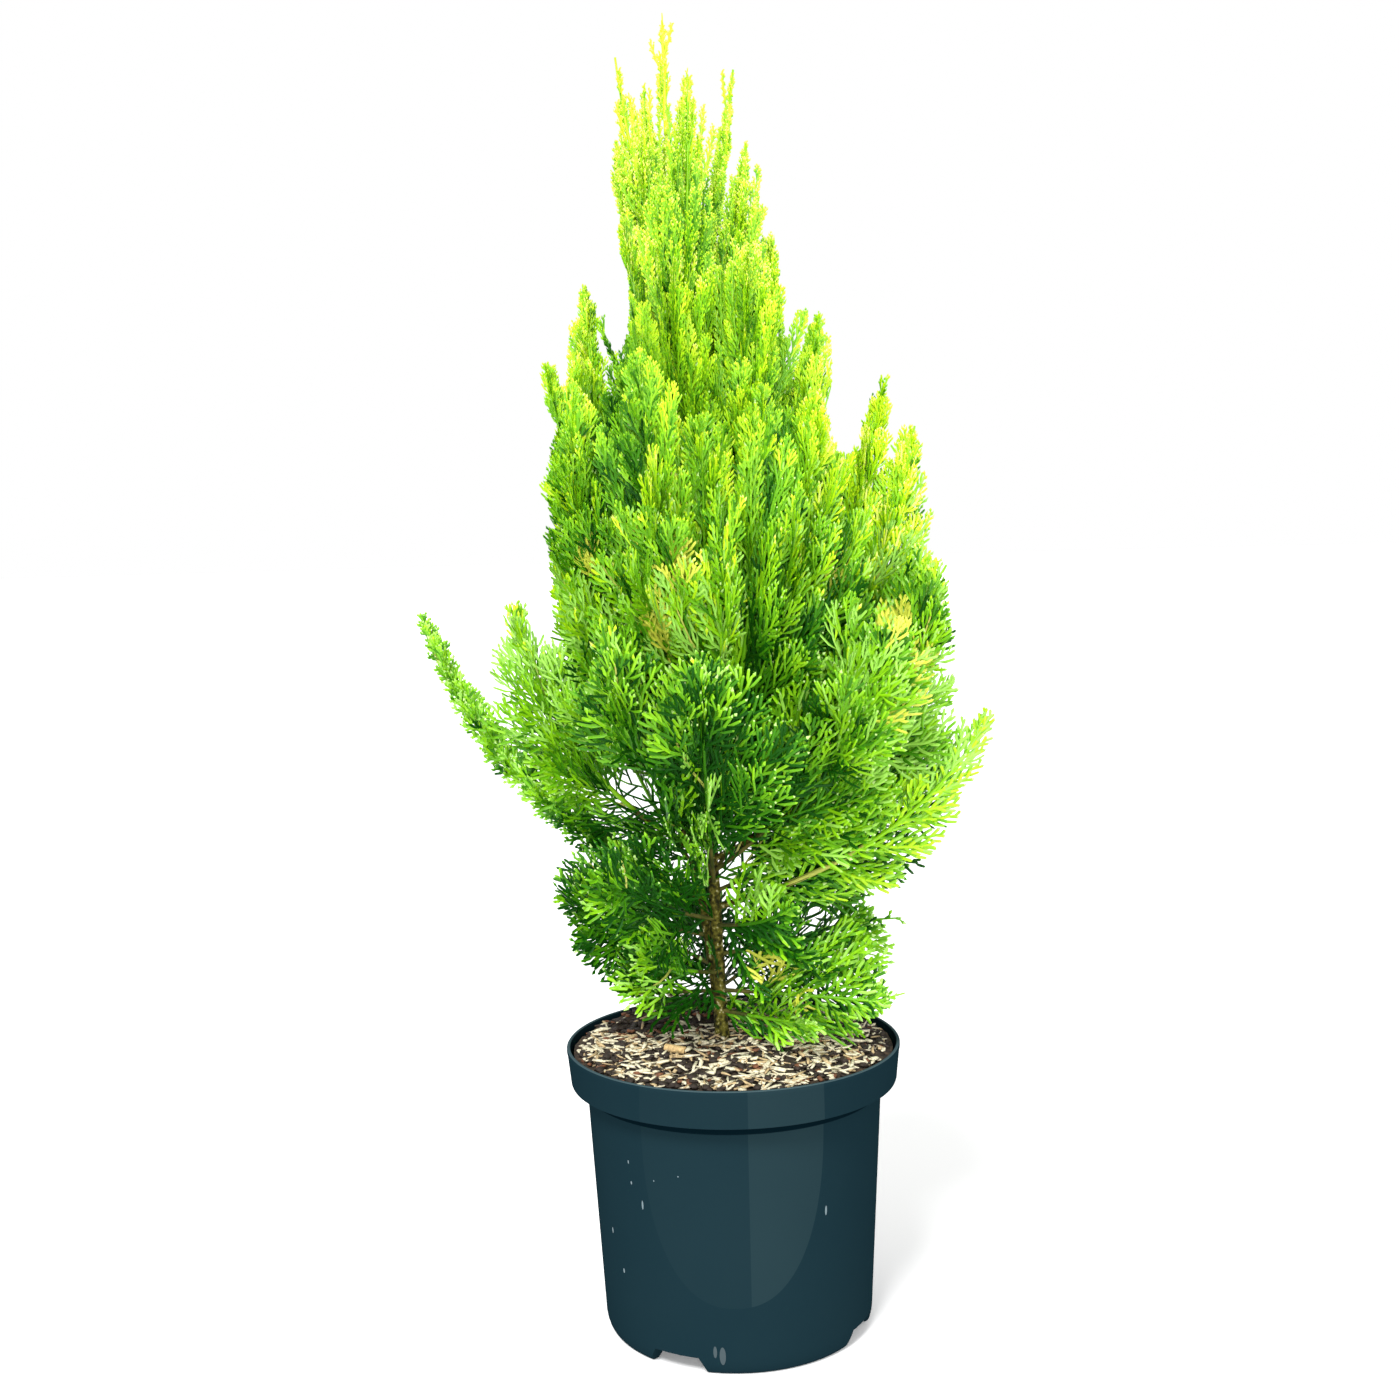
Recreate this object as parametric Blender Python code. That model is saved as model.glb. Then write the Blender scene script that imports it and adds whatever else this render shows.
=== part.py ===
"""Potted oriental arborvitae: a young conifer with a trunk, a second stem, boughs and flat upright
sprays of foliage, standing in a round nursery pot filled with potting soil.

Metres, +Z up. The origin is the centre of the pot's underside, +X is the plant's right as seen from
the front, and the front faces -Y.
"""

import math
import random
from collections import namedtuple

import bmesh
import bpy
import numpy as np
from mathutils import Matrix, Vector

# Pot
POT_HEIGHT = 0.240
RIM_RADIUS = 0.140
COLLAR_HEIGHT = 0.031
COLLAR_TAPER = 0.003
COLLAR_STEP = 0.013
BODY_LOW_RADIUS = 0.1135
FOOT_RADIUS = 0.107
FOOT_ROUNDING = 0.016
WALL = 0.0020
FLOOR_LEVEL = 0.0165
FLOOR_THICKNESS = 0.0025
FOOT_WIDTH = 0.012
PAD_RADIUS = 0.030
NOTCH_HEIGHT = 0.0135
NOTCH_BEARINGS = (-28.0, 64.0, 152.0, 244.0)
NOTCH_HALF_TOP = 10.0
NOTCH_HALF_FOOT = 14.2
CUTTER_MARGIN = 0.004
EDGE_ROUNDING = 0.0015
RIM_ROUNDING = 0.0008
FOOT_CHAMFER = 0.002
FLOOR_CORNER = 0.004
POT_SEGMENTS = 32

# Soil
SOIL_EDGE = 0.235
SOIL_TOP = 0.244
SOIL_MOUND_RADIUS = 0.060
HEAP_PLACE = (-0.050, 0.108)
HEAP_HEIGHT = 0.0105
HEAP_SPREAD = 0.040
HEAP_RING = 0.112
SOIL_CORNER = 0.0045
SOIL_CORNER_LIFT = 0.001

# Clearances
SEAT_GAP = 0.0003
WALL_GAP = 0.00045
LEAF_CLEARANCE = 0.0022
FOLIAGE_FLOOR = 0.2505

# Limbs
Limb = namedtuple("Limb", "name foot bend tip foot_radius tip_radius")
TRUNK = Limb(
    "trunk",
    foot=Vector((-0.009, -0.010, SOIL_TOP + SEAT_GAP)),
    bend=Vector((-0.018, -0.004, 0.600)),
    tip=Vector((-0.036, 0.002, 0.985)),
    foot_radius=0.0052,
    tip_radius=0.0013,
)
LEFT_STEM = Limb(
    "left_stem",
    foot=Vector((-0.0105, 0.014, SOIL_TOP + SEAT_GAP)),
    bend=Vector((-0.024, 0.028, 0.420)),
    tip=Vector((-0.084, 0.030, 0.640)),
    foot_radius=0.0040,
    tip_radius=0.0019,
)
BEND_REACH = 0.74
BOUGH_LIFT = 0.30
STEM_LIFT = 0.42
FLARE_HEIGHT = 0.012
FLARE_FACTOR = 1.5
TRUNK_SIDES = 8
TRUNK_RINGS = 11
LIMB_FLATNESS = 0.96
BOUGH_SIDES = 6
BOUGH_RINGS = 4
BOUGH_ROOT_RADIUS = 0.0026
STEM_ROOT_RADIUS = 0.0019
STEM_TIP_RADIUS = 0.0008
LIMB_SHARE_OF_RADIUS = 0.85
STEM_SIDES = 3
STEM_RINGS = 5
BISECTIONS = 40
LENGTH_STEPS = 40
CLEAR_STEPS = 4000
AT_TIP = 0.999

# Sprays
SPRAY_THICKNESS = 0.0014
SPRAY_RIB = 0.0006
SPRAY_OPENING = math.radians(34)
SPRAY_SWEEP = math.radians(26)
SPRAY_WIDTH = 0.32
VALLEY_SHARE = 0.42
STAGGER = 0.05
Tooth = namedtuple("Tooth", "notch tip width")
TEETH = (Tooth(0.28, 0.40, 0.88), Tooth(0.58, 0.74, 1.00))
RIB_SAMPLES = (0.15, 0.3, 0.45, 0.6, 0.75, 0.9)
CLEAR_OF_SIBLINGS = 0.0065
FIRST_SPRAY = 0.08
LAST_SPRAY = 0.84
SHORTER_TOWARDS_TIP = 0.32
TIP_SPRAY = 0.55
OPENING_RANGE = (0.85, 1.15)
LENGTH_RANGE = (0.95, 1.10)
FACING_SPREAD = 35
LEAN_SPREAD = 20
ROLL_SPREAD = 30
ATTEMPTS = 24
SPREAD_PER_ATTEMPT = 6
SHRINK_PER_ATTEMPT = 0.025
TIP_ROLL_PER_ATTEMPT = 10
TIP_SHRINK_PER_ATTEMPT = 0.03
SEED = 20

# How many straight pieces stand for each curve when distances are measured
STEM_PIECES = 10
LIMB_PIECES = 12
BOUGH_PIECES = 5

# Foliage masses. Each one has a name, the limb that carries it, the height of its root on that limb,
# the place of its tip, the length of its side sprays, their number, and the share of its path that
# is bare bough.
Mass = namedtuple("Mass", "name limb root tip spray count bare")
MASSES = (
    # the crest, where the trunk ends
    Mass("leader", TRUNK, 0.985, (-0.037, 0.000, 1.074), 0.046, 4, 0),
    Mass("left_spire", TRUNK, 0.860, (-0.075, -0.008, 1.044), 0.060, 6, 0),
    Mass("right_spire", TRUNK, 0.830, (0.019, 0.006, 1.036), 0.050, 6, 0),
    Mass("left_crest", TRUNK, 0.800, (-0.078, 0.018, 0.985), 0.082, 6, 0),
    Mass("front_crest", TRUNK, 0.790, (-0.018, -0.036, 1.022), 0.086, 6, 0),
    Mass("back_crest", TRUNK, 0.780, (-0.054, 0.036, 1.028), 0.086, 6, 0),
    Mass("right_shoulder", TRUNK, 0.730, (0.028, 0.002, 0.974), 0.088, 7, 0),
    # the column under it
    Mass("front_column", TRUNK, 0.640, (-0.038, -0.084, 0.920), 0.115, 7, 0),
    Mass("back_column", TRUNK, 0.630, (-0.020, 0.090, 0.915), 0.115, 7, 0),
    Mass("left_column", TRUNK, 0.650, (-0.068, -0.040, 0.912), 0.105, 7, 0),
    Mass("left_back_column", TRUNK, 0.610, (-0.066, 0.066, 0.890), 0.105, 7, 0),
    Mass("right_column", TRUNK, 0.600, (0.046, 0.000, 0.893), 0.105, 7, 0),
    Mass("right_front_column", TRUNK, 0.575, (0.030, -0.080, 0.880), 0.115, 7, 0),
    Mass("right_back_column", TRUNK, 0.570, (0.038, 0.080, 0.868), 0.115, 7, 0),
    # the flanks, which widen the crown
    Mass("left_leader", LEFT_STEM, 0.640, (-0.107, 0.015, 0.866), 0.095, 7, 0),
    Mass("left_edge", LEFT_STEM, 0.488, (-0.137, -0.002, 0.803), 0.105, 7, 0),
    Mass("left_front", LEFT_STEM, 0.455, (-0.118, -0.085, 0.775), 0.120, 7, 0),
    Mass("left_back", LEFT_STEM, 0.470, (-0.122, 0.105, 0.765), 0.120, 7, 0),
    Mass("front_left", TRUNK, 0.480, (-0.060, -0.126, 0.790), 0.125, 7, 0),
    Mass("front_centre", TRUNK, 0.440, (0.032, -0.136, 0.765), 0.125, 7, 0.25),
    Mass("inner_front", TRUNK, 0.425, (-0.014, -0.118, 0.745), 0.125, 7, 0),
    Mass("right_front", TRUNK, 0.465, (0.072, -0.098, 0.762), 0.120, 7, 0.25),
    Mass("right_leader", TRUNK, 0.520, (0.084, 0.008, 0.838), 0.100, 7, 0),
    Mass("right_back", TRUNK, 0.470, (0.080, 0.100, 0.775), 0.120, 7, 0),
    Mass("back_centre", TRUNK, 0.460, (-0.015, 0.142, 0.785), 0.125, 7, 0),
    Mass("right_high", TRUNK, 0.450, (0.136, 0.004, 0.783), 0.110, 7, 0.30),
    Mass("right_edge", TRUNK, 0.420, (0.160, -0.004, 0.748), 0.110, 7, 0.30),
    Mass("right_flank", TRUNK, 0.395, (0.171, -0.062, 0.628), 0.115, 7, 0.30),
    # the boughs below them, which reach furthest
    Mass("left_tail", LEFT_STEM, 0.358, (-0.250, 0.012, 0.602), 0.050, 8, 0.28),
    Mass("left_inner", LEFT_STEM, 0.400, (-0.172, -0.016, 0.606), 0.088, 7, 0.20),
    Mass("right_tail", TRUNK, 0.355, (0.206, -0.072, 0.516), 0.078, 8, 0.20),
    Mass("right_low", TRUNK, 0.368, (0.168, 0.030, 0.484), 0.095, 7, 0),
    Mass("front_low_left", TRUNK, 0.385, (-0.092, -0.146, 0.600), 0.120, 7, 0),
    Mass("front_low", TRUNK, 0.375, (-0.020, -0.150, 0.560), 0.115, 7, 0),
    Mass("front_low_right", TRUNK, 0.385, (0.122, -0.130, 0.585), 0.115, 7, 0),
    Mass("back_low_left", LEFT_STEM, 0.380, (-0.125, 0.150, 0.590), 0.120, 7, 0),
    Mass("back_low_right", TRUNK, 0.385, (0.100, 0.155, 0.580), 0.125, 7, 0),
    # the skirt, whose lowest sprays lie out almost level
    Mass("left_skirt", LEFT_STEM, 0.325, (-0.134, 0.000, 0.372), 0.100, 8, 0),
    Mass("left_low_skirt", LEFT_STEM, 0.278, (-0.100, -0.020, 0.290), 0.080, 7, 0),
    Mass("left_back_skirt", LEFT_STEM, 0.300, (-0.105, 0.098, 0.345), 0.090, 8, 0),
    Mass("left_front_skirt", TRUNK, 0.345, (-0.092, -0.092, 0.400), 0.090, 7, 0),
    Mass("right_skirt", TRUNK, 0.315, (0.122, 0.024, 0.340), 0.095, 8, 0),
    Mass("right_front_skirt", TRUNK, 0.285, (0.128, -0.045, 0.280), 0.090, 8, 0),
    Mass("front_skirt", TRUNK, 0.340, (0.044, -0.114, 0.376), 0.090, 6, 0),
    Mass("inner_left_skirt", TRUNK, 0.300, (-0.066, -0.062, 0.326), 0.085, 8, 0),
    Mass("inner_right_skirt", TRUNK, 0.268, (0.058, -0.082, 0.276), 0.080, 8, 0),
    Mass("inner_back_skirt", LEFT_STEM, 0.278, (0.038, 0.108, 0.292), 0.090, 8, 0),
    Mass("back_skirt", LEFT_STEM, 0.312, (-0.030, 0.128, 0.322), 0.100, 8, 0),
)

# The crown's outline: how far it reaches to the left, to the right, and to the front and the back, at
# each height. The masses named after it grow out of that outline.
Reach = namedtuple("Reach", "height left right depth")
CROWN = (
    Reach(0.25, 0.064, 0.112, 0.100),
    Reach(0.28, 0.084, 0.136, 0.120),
    Reach(0.30, 0.104, 0.130, 0.135),
    Reach(0.325, 0.128, 0.136, 0.146),
    Reach(0.34, 0.132, 0.114, 0.150),
    Reach(0.36, 0.138, 0.116, 0.158),
    Reach(0.375, 0.142, 0.146, 0.163),
    Reach(0.40, 0.136, 0.178, 0.170),
    Reach(0.45, 0.162, 0.192, 0.175),
    Reach(0.50, 0.160, 0.190, 0.175),
    Reach(0.55, 0.150, 0.190, 0.174),
    Reach(0.60, 0.140, 0.181, 0.172),
    Reach(0.65, 0.144, 0.177, 0.168),
    Reach(0.72, 0.142, 0.166, 0.158),
    Reach(0.76, 0.130, 0.158, 0.150),
    Reach(0.78, 0.139, 0.142, 0.145),
    Reach(0.79, 0.142, 0.139, 0.143),
    Reach(0.80, 0.142, 0.104, 0.140),
    Reach(0.83, 0.126, 0.092, 0.130),
    Reach(0.845, 0.118, 0.086, 0.126),
    Reach(0.853, 0.115, 0.060, 0.123),
    Reach(0.868, 0.112, 0.054, 0.118),
    Reach(0.88, 0.080, 0.052, 0.114),
    Reach(0.92, 0.081, 0.044, 0.098),
    Reach(0.95, 0.084, 0.042, 0.082),
    Reach(1.00, 0.077, 0.028, 0.060),
    Reach(1.08, 0.070, 0.027, 0.030),
)
CROWN_ROUNDNESS = 2.4
OUTSIDE_CROWN = ("left_tail", "left_inner", "right_tail")

# Colours, as red, green, blue, roughness
POT_COLOUR = (0.018, 0.045, 0.058, 0.35)
SOIL_COLOUR = (0.060, 0.040, 0.025, 0.95)
BARK_COLOUR = (0.150, 0.080, 0.030, 0.80)
LEAF_COLOUR = (0.150, 0.420, 0.030, 0.55)


def clear_scene():
    for obj in list(bpy.data.objects):
        bpy.data.objects.remove(obj)


def material(name, colour):
    made = bpy.data.materials.new(name)
    made.use_nodes = True
    shader = made.node_tree.nodes["Principled BSDF"]
    shader.inputs["Base Color"].default_value = (*colour[:3], 1.0)
    shader.inputs["Roughness"].default_value = colour[3]
    shader.inputs["Metallic"].default_value = 0.0
    return made


def add_object(name, bm, finish, smooth_angle=None):
    """One named object from a bmesh, which it frees."""
    bmesh.ops.recalc_face_normals(bm, faces=bm.faces)
    mesh = bpy.data.meshes.new(name)
    bm.to_mesh(mesh)
    bm.free()
    obj = bpy.data.objects.new(name, mesh)
    bpy.context.scene.collection.objects.link(obj)
    mesh.materials.append(finish)
    if smooth_angle is not None:
        mesh.shade_smooth()
        mesh.set_sharp_from_angle(angle=smooth_angle)
    return obj


# Curves and tubes


def bezier(start, bend, end, t):
    """A point on the quadratic curve from start to end."""
    return start * (1 - t) ** 2 + bend * (2 * t * (1 - t)) + end * t * t


def bezier_heading(start, bend, end, t):
    return ((bend - start) * (1 - t) + (end - bend) * t).normalized()


def limb_share_at(limb, height):
    """How far along a limb a height is, by bisection, because a limb always rises."""
    low, high = 0.0, 1.0
    for _ in range(BISECTIONS):
        middle = (low + high) / 2
        if bezier(limb.foot, limb.bend, limb.tip, middle).z < height:
            low = middle
        else:
            high = middle
    return (low + high) / 2


def limb_radius(limb, t):
    return limb.foot_radius + (limb.tip_radius - limb.foot_radius) * t


def side_axes(heading):
    """Two directions square to a heading, the first of them level."""
    level = heading.cross(Vector((0, 0, 1)))
    if level.length < 1e-4:
        level = Vector((1, 0, 0))
    level.normalize()
    return level, level.cross(heading).normalized()


def ring_offsets(heading, sides):
    """The corners of a ring of radius 1, square to a heading."""
    across, over = side_axes(heading)
    angles = [2 * math.pi * k / sides for k in range(sides)]
    return [across * math.cos(angle) + over * math.sin(angle) for angle in angles]


def add_tube(bm, points, headings, radii, sides):
    """A closed tube along the points, each ring square to its heading."""
    rings = []
    for point, heading, radius in zip(points, headings, radii):
        rings.append([bm.verts.new(point + offset * radius) for offset in ring_offsets(heading, sides)])
    for lower, upper in zip(rings, rings[1:]):
        for k in range(sides):
            after = (k + 1) % sides
            bm.faces.new((lower[k], lower[after], upper[after], upper[k]))
    bm.faces.new(reversed(rings[0]))
    bm.faces.new(rings[-1])


# Pot and soil


def turned(profile, segments):
    """A closed bmesh from a profile of (radius, height) turned about the Z axis. Points on the
    axis become one vertex."""
    bm = bmesh.new()
    rings = []
    for radius, height in profile:
        if radius == 0:
            rings.append([bm.verts.new((0, 0, height))] * segments)
            continue
        angles = [2 * math.pi * k / segments for k in range(segments)]
        rings.append([bm.verts.new((radius * math.cos(a), radius * math.sin(a), height)) for a in angles])
    for lower, upper in zip(rings, rings[1:]):
        for k in range(segments):
            after = (k + 1) % segments
            corners = [lower[k], lower[after], upper[after], upper[k]]
            bm.faces.new(list(dict.fromkeys(corners)))
    return bm


def body_radius(height):
    """Outer radius of the pot's tapering body, between the foot and the collar."""
    low = FOOT_ROUNDING
    high = POT_HEIGHT - COLLAR_HEIGHT
    top_radius = RIM_RADIUS - COLLAR_TAPER - COLLAR_STEP
    return BODY_LOW_RADIUS + (top_radius - BODY_LOW_RADIUS) * (height - low) / (high - low)


def pot_profile():
    """From the underside's centre, out over the foot, up the outside and down the inside."""
    collar_foot = POT_HEIGHT - COLLAR_HEIGHT
    collar_radius = RIM_RADIUS - COLLAR_TAPER
    under_floor = FLOOR_LEVEL - FLOOR_THICKNESS
    shoulder = body_radius(collar_foot)
    inner_shoulder = collar_foot + WALL
    return [
        (0, 0),
        (PAD_RADIUS, 0),
        (PAD_RADIUS + under_floor, under_floor),
        (FOOT_RADIUS - FOOT_WIDTH, under_floor),
        (FOOT_RADIUS - FOOT_WIDTH + under_floor / 2, 0),
        (FOOT_RADIUS, 0),
        (BODY_LOW_RADIUS - FOOT_CHAMFER, FOOT_ROUNDING / 2),
        (BODY_LOW_RADIUS, FOOT_ROUNDING),
        (shoulder, collar_foot),
        (collar_radius - EDGE_ROUNDING, collar_foot),
        (collar_radius, collar_foot + EDGE_ROUNDING),
        (RIM_RADIUS, POT_HEIGHT - EDGE_ROUNDING),
        (RIM_RADIUS - RIM_ROUNDING, POT_HEIGHT),
        (RIM_RADIUS - WALL, POT_HEIGHT),
        (collar_radius - WALL, inner_shoulder),
        (shoulder - WALL, inner_shoulder),
        (BODY_LOW_RADIUS - WALL, FOOT_ROUNDING),
        (BODY_LOW_RADIUS - WALL - FLOOR_CORNER, FLOOR_LEVEL),
        (0, FLOOR_LEVEL),
    ]


def notch_cutter(bearing, finish):
    """A wedge that cuts one trapezoid notch through the foot. Its bearing is measured from the front
    towards the right."""
    bm = bmesh.new()
    inner = FOOT_RADIUS - FOOT_WIDTH - CUTTER_MARGIN
    outer = RIM_RADIUS
    below = -CUTTER_MARGIN
    corners = []
    for radius in (inner, outer):
        for half, height in ((NOTCH_HALF_FOOT, below), (NOTCH_HALF_TOP, NOTCH_HEIGHT)):
            for side in (-1, 1):
                angle = math.radians(bearing + side * half)
                corners.append(bm.verts.new((radius * math.sin(angle), -radius * math.cos(angle), height)))
    bmesh.ops.convex_hull(bm, input=corners)
    cutter = add_object(f"notch_cutter_{bearing:.0f}", bm, finish)
    cutter.hide_render = True
    cutter.display_type = "WIRE"
    return cutter


def make_pot():
    finish = material("pot_plastic", POT_COLOUR)
    pot = add_object("pot", turned(pot_profile(), POT_SEGMENTS), finish, math.radians(40))
    for bearing in NOTCH_BEARINGS:
        cut = pot.modifiers.new(f"notch_{bearing:.0f}", "BOOLEAN")
        cut.operation = "DIFFERENCE"
        cut.object = notch_cutter(bearing, finish)
    return pot


def heap(x, y):
    """How much higher the soil lies at the back left."""
    away = math.hypot(x - HEAP_PLACE[0], y - HEAP_PLACE[1])
    return HEAP_HEIGHT * math.exp(-(away / HEAP_SPREAD) ** 2)


def make_soil():
    """The soil that fills the pot, a gap clear of its wall, with a low mound round the trunk and a
    heap behind it."""
    collar_foot = POT_HEIGHT - COLLAR_HEIGHT
    collar_radius = RIM_RADIUS - COLLAR_TAPER
    shoulder = body_radius(collar_foot)
    inside = WALL + WALL_GAP
    floor = FLOOR_LEVEL + SEAT_GAP
    step = collar_foot + WALL + SEAT_GAP
    edge = collar_radius - inside
    ring_share = (edge - HEAP_RING) / (edge - SOIL_MOUND_RADIUS)
    profile = [
        (0, floor),
        (BODY_LOW_RADIUS - inside - SOIL_CORNER, floor),
        (BODY_LOW_RADIUS - inside, FOOT_ROUNDING + SOIL_CORNER_LIFT),
        (shoulder - inside, step),
        (edge, step),
        (edge, SOIL_EDGE),
        (HEAP_RING, SOIL_EDGE + (SOIL_TOP - SOIL_EDGE) * ring_share),
        (SOIL_MOUND_RADIUS, SOIL_TOP),
        (0, SOIL_TOP),
    ]
    bm = turned(profile, POT_SEGMENTS)
    for corner in bm.verts:
        x, y, z = corner.co
        if z > SOIL_EDGE - SEAT_GAP and math.hypot(x, y) > HEAP_RING - SEAT_GAP:
            corner.co.z += heap(x, y)
    return add_object("soil", bm, material("potting_soil", SOIL_COLOUR), math.radians(40))


# Limbs


def make_limb(limb, finish):
    """A trunk or stem with a flat foot on the soil, a root flare and a true taper."""
    shares = [k / TRUNK_RINGS for k in range(TRUNK_RINGS + 1)]
    flare_share = limb_share_at(limb, limb.foot.z + FLARE_HEIGHT)
    shares.insert(1, flare_share)
    points, headings, radii = [], [], []
    for share in shares:
        points.append(bezier(limb.foot, limb.bend, limb.tip, share))
        headings.append(bezier_heading(limb.foot, limb.bend, limb.tip, share))
        radii.append(limb_radius(limb, share))
    headings[0] = Vector((0, 0, 1))
    radii[0] *= FLARE_FACTOR
    bm = bmesh.new()
    add_tube(bm, points, headings, radii, TRUNK_SIDES)
    return add_object(limb.name, bm, finish, math.radians(50))


class Path:
    """The way from a limb to a mass's tip: bare bough for a share of it, then the mass's stem."""

    def __init__(self, mass):
        self.mass = mass
        share = limb_share_at(mass.limb, mass.root)
        self.start = bezier(mass.limb.foot, mass.limb.bend, mass.limb.tip, share)
        self.end = Vector(mass.tip)
        reach = self.end - self.start
        level = Vector((reach.x, reach.y, 0))
        lift = BOUGH_LIFT if mass.bare else STEM_LIFT
        self.bend = self.start + level * BEND_REACH + Vector((0, 0, reach.z * lift))
        self.limb_radius = limb_radius(mass.limb, share)
        self.at_limb_tip = share > AT_TIP
        self.root_radius = BOUGH_ROOT_RADIUS if mass.bare else STEM_ROOT_RADIUS
        self.root_radius = min(self.root_radius, LIMB_SHARE_OF_RADIUS * self.limb_radius)
        places = [self.at(k / LENGTH_STEPS) for k in range(LENGTH_STEPS + 1)]
        self.length = sum((b - a).length for a, b in zip(places, places[1:]))
        self.first = self.clear_share()
        self.split = max(mass.bare, self.first)

    def at(self, t):
        return bezier(self.start, self.bend, self.end, t)

    def heading(self, t):
        return bezier_heading(self.start, self.bend, self.end, t)

    def radius(self, t):
        if t < self.split:
            part = (t - self.first) / (self.split - self.first)
            return self.root_radius + (STEM_ROOT_RADIUS - self.root_radius) * part
        part = (t - self.split) / (1 - self.split)
        root = min(STEM_ROOT_RADIUS, self.root_radius)
        return root + (STEM_TIP_RADIUS - root) * part

    def clear_share(self):
        """Where the path has come clear of its limb by the seat gap."""
        if self.at_limb_tip:
            return SEAT_GAP / self.length
        limb = self.mass.limb
        sides = BOUGH_SIDES if self.mass.bare else STEM_SIDES
        for k in range(1, CLEAR_STEPS // 2):
            t = k / CLEAR_STEPS
            point, heading = self.at(t), self.heading(t)
            axis_share = limb_share_at(limb, point.z)
            axis = bezier(limb.foot, limb.bend, limb.tip, axis_share)
            along = bezier_heading(limb.foot, limb.bend, limb.tip, axis_share)
            away = (point - axis) - along * (point - axis).dot(along)
            inward = -away.normalized()
            nearest = max(offset.dot(inward) for offset in ring_offsets(heading, sides))
            near_edge = self.root_radius * max(nearest, 0)
            needed = limb_radius(limb, axis_share) * LIMB_FLATNESS + SEAT_GAP + near_edge
            if away.length >= needed:
                return t
        raise ValueError(f"{self.mass.name} never leaves its limb")


def make_tube_object(name, path, first, last, rings, sides, finish):
    bm = bmesh.new()
    shares = [first + (last - first) * k / rings for k in range(rings + 1)]
    add_tube(
        bm,
        [path.at(t) for t in shares],
        [path.heading(t) for t in shares],
        [path.radius(t) for t in shares],
        sides,
    )
    return add_object(name, bm, finish, math.radians(50))


# Foliage


def spray_outline(length, half_width, sweep):
    """The outline of one flat spray in its own plane, as (along, across) pairs. Forward-leaning teeth
    stand on both sides of a rib that bends towards +across, those of one side a little higher."""

    def on_rib(share, across):
        angle = sweep * share
        along = length * math.sin(angle) / sweep
        over = length * (1 - math.cos(angle)) / sweep
        return (along - across * math.sin(angle), over + across * math.cos(angle))

    sides = {1: [], -1: []}
    for side, offset in ((1, 0.0), (-1, STAGGER)):
        sides[side].append(on_rib(0, side * SPRAY_RIB))
        for tooth in TEETH:
            sides[side].append(on_rib(tooth.tip + offset, side * tooth.width * half_width))
            sides[side].append(on_rib(tooth.notch + offset, side * VALLEY_SHARE * half_width))
    return sides[1] + [on_rib(1.0, 0.0)] + sides[-1][::-1]


class Spray:
    """One side shoot: its root on the stem, its heading, and the way it bends."""

    def __init__(self, root, heading, towards, length, roll, narrowing=1.0):
        self.root = root
        self.heading = heading.normalized()
        bend = towards - self.heading * towards.dot(self.heading)
        self.bend = (Matrix.Rotation(roll, 3, self.heading) @ bend).normalized()
        self.normal = self.heading.cross(self.bend)
        self.length = length
        self.half_width = SPRAY_WIDTH * length * narrowing

    def outline(self):
        flat = spray_outline(self.length, self.half_width, SPRAY_SWEEP)
        return [self.root + self.heading * a + self.bend * b for a, b in flat]

    def samples(self):
        """Points that stand for the spray when it is tested against its surroundings: its outline,
        with the middle of each edge, and a line down its middle."""
        outline = self.outline()
        middles = [(a + b) / 2 for a, b in zip(outline, outline[1:] + outline[:1])]
        end = outline[1 + 2 * len(TEETH)]
        rib = [self.root.lerp(end, share) for share in RIB_SAMPLES]
        return np.array([tuple(p) for p in outline[1:-1] + middles + rib])

    def add_to(self, bm):
        half = self.normal * (SPRAY_THICKNESS / 2)
        outline = self.outline()
        upper = [bm.verts.new(p + half) for p in outline]
        lower = [bm.verts.new(p - half) for p in outline]
        bm.faces.new(upper)
        bm.faces.new(lower[::-1])
        count = len(outline)
        for k in range(count):
            after = (k + 1) % count
            bm.faces.new((upper[k], lower[k], lower[after], upper[after]))


def distances(points, starts, ends):
    """Distance from each point to each segment, as an array of points by segments."""
    run = ends - starts
    offset = points[:, None, :] - starts[None, :, :]
    share = np.clip((offset * run).sum(2) / (run * run).sum(1), 0, 1)
    return np.linalg.norm(offset - share[:, :, None] * run[None, :, :], axis=2)


def beyond_crown(points):
    """How far points lie out of the crown's outline, where more than 1 is outside."""
    heights, lefts, rights, depths = zip(*CROWN)
    left = np.interp(points[:, 2], heights, lefts)
    right = np.interp(points[:, 2], heights, rights)
    depth = np.interp(points[:, 2], heights, depths)
    across = np.abs(points[:, 0] - (right - left) / 2) / ((right + left) / 2)
    along = np.abs(points[:, 1]) / depth
    return across ** CROWN_ROUNDNESS + along ** CROWN_ROUNDNESS


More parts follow.
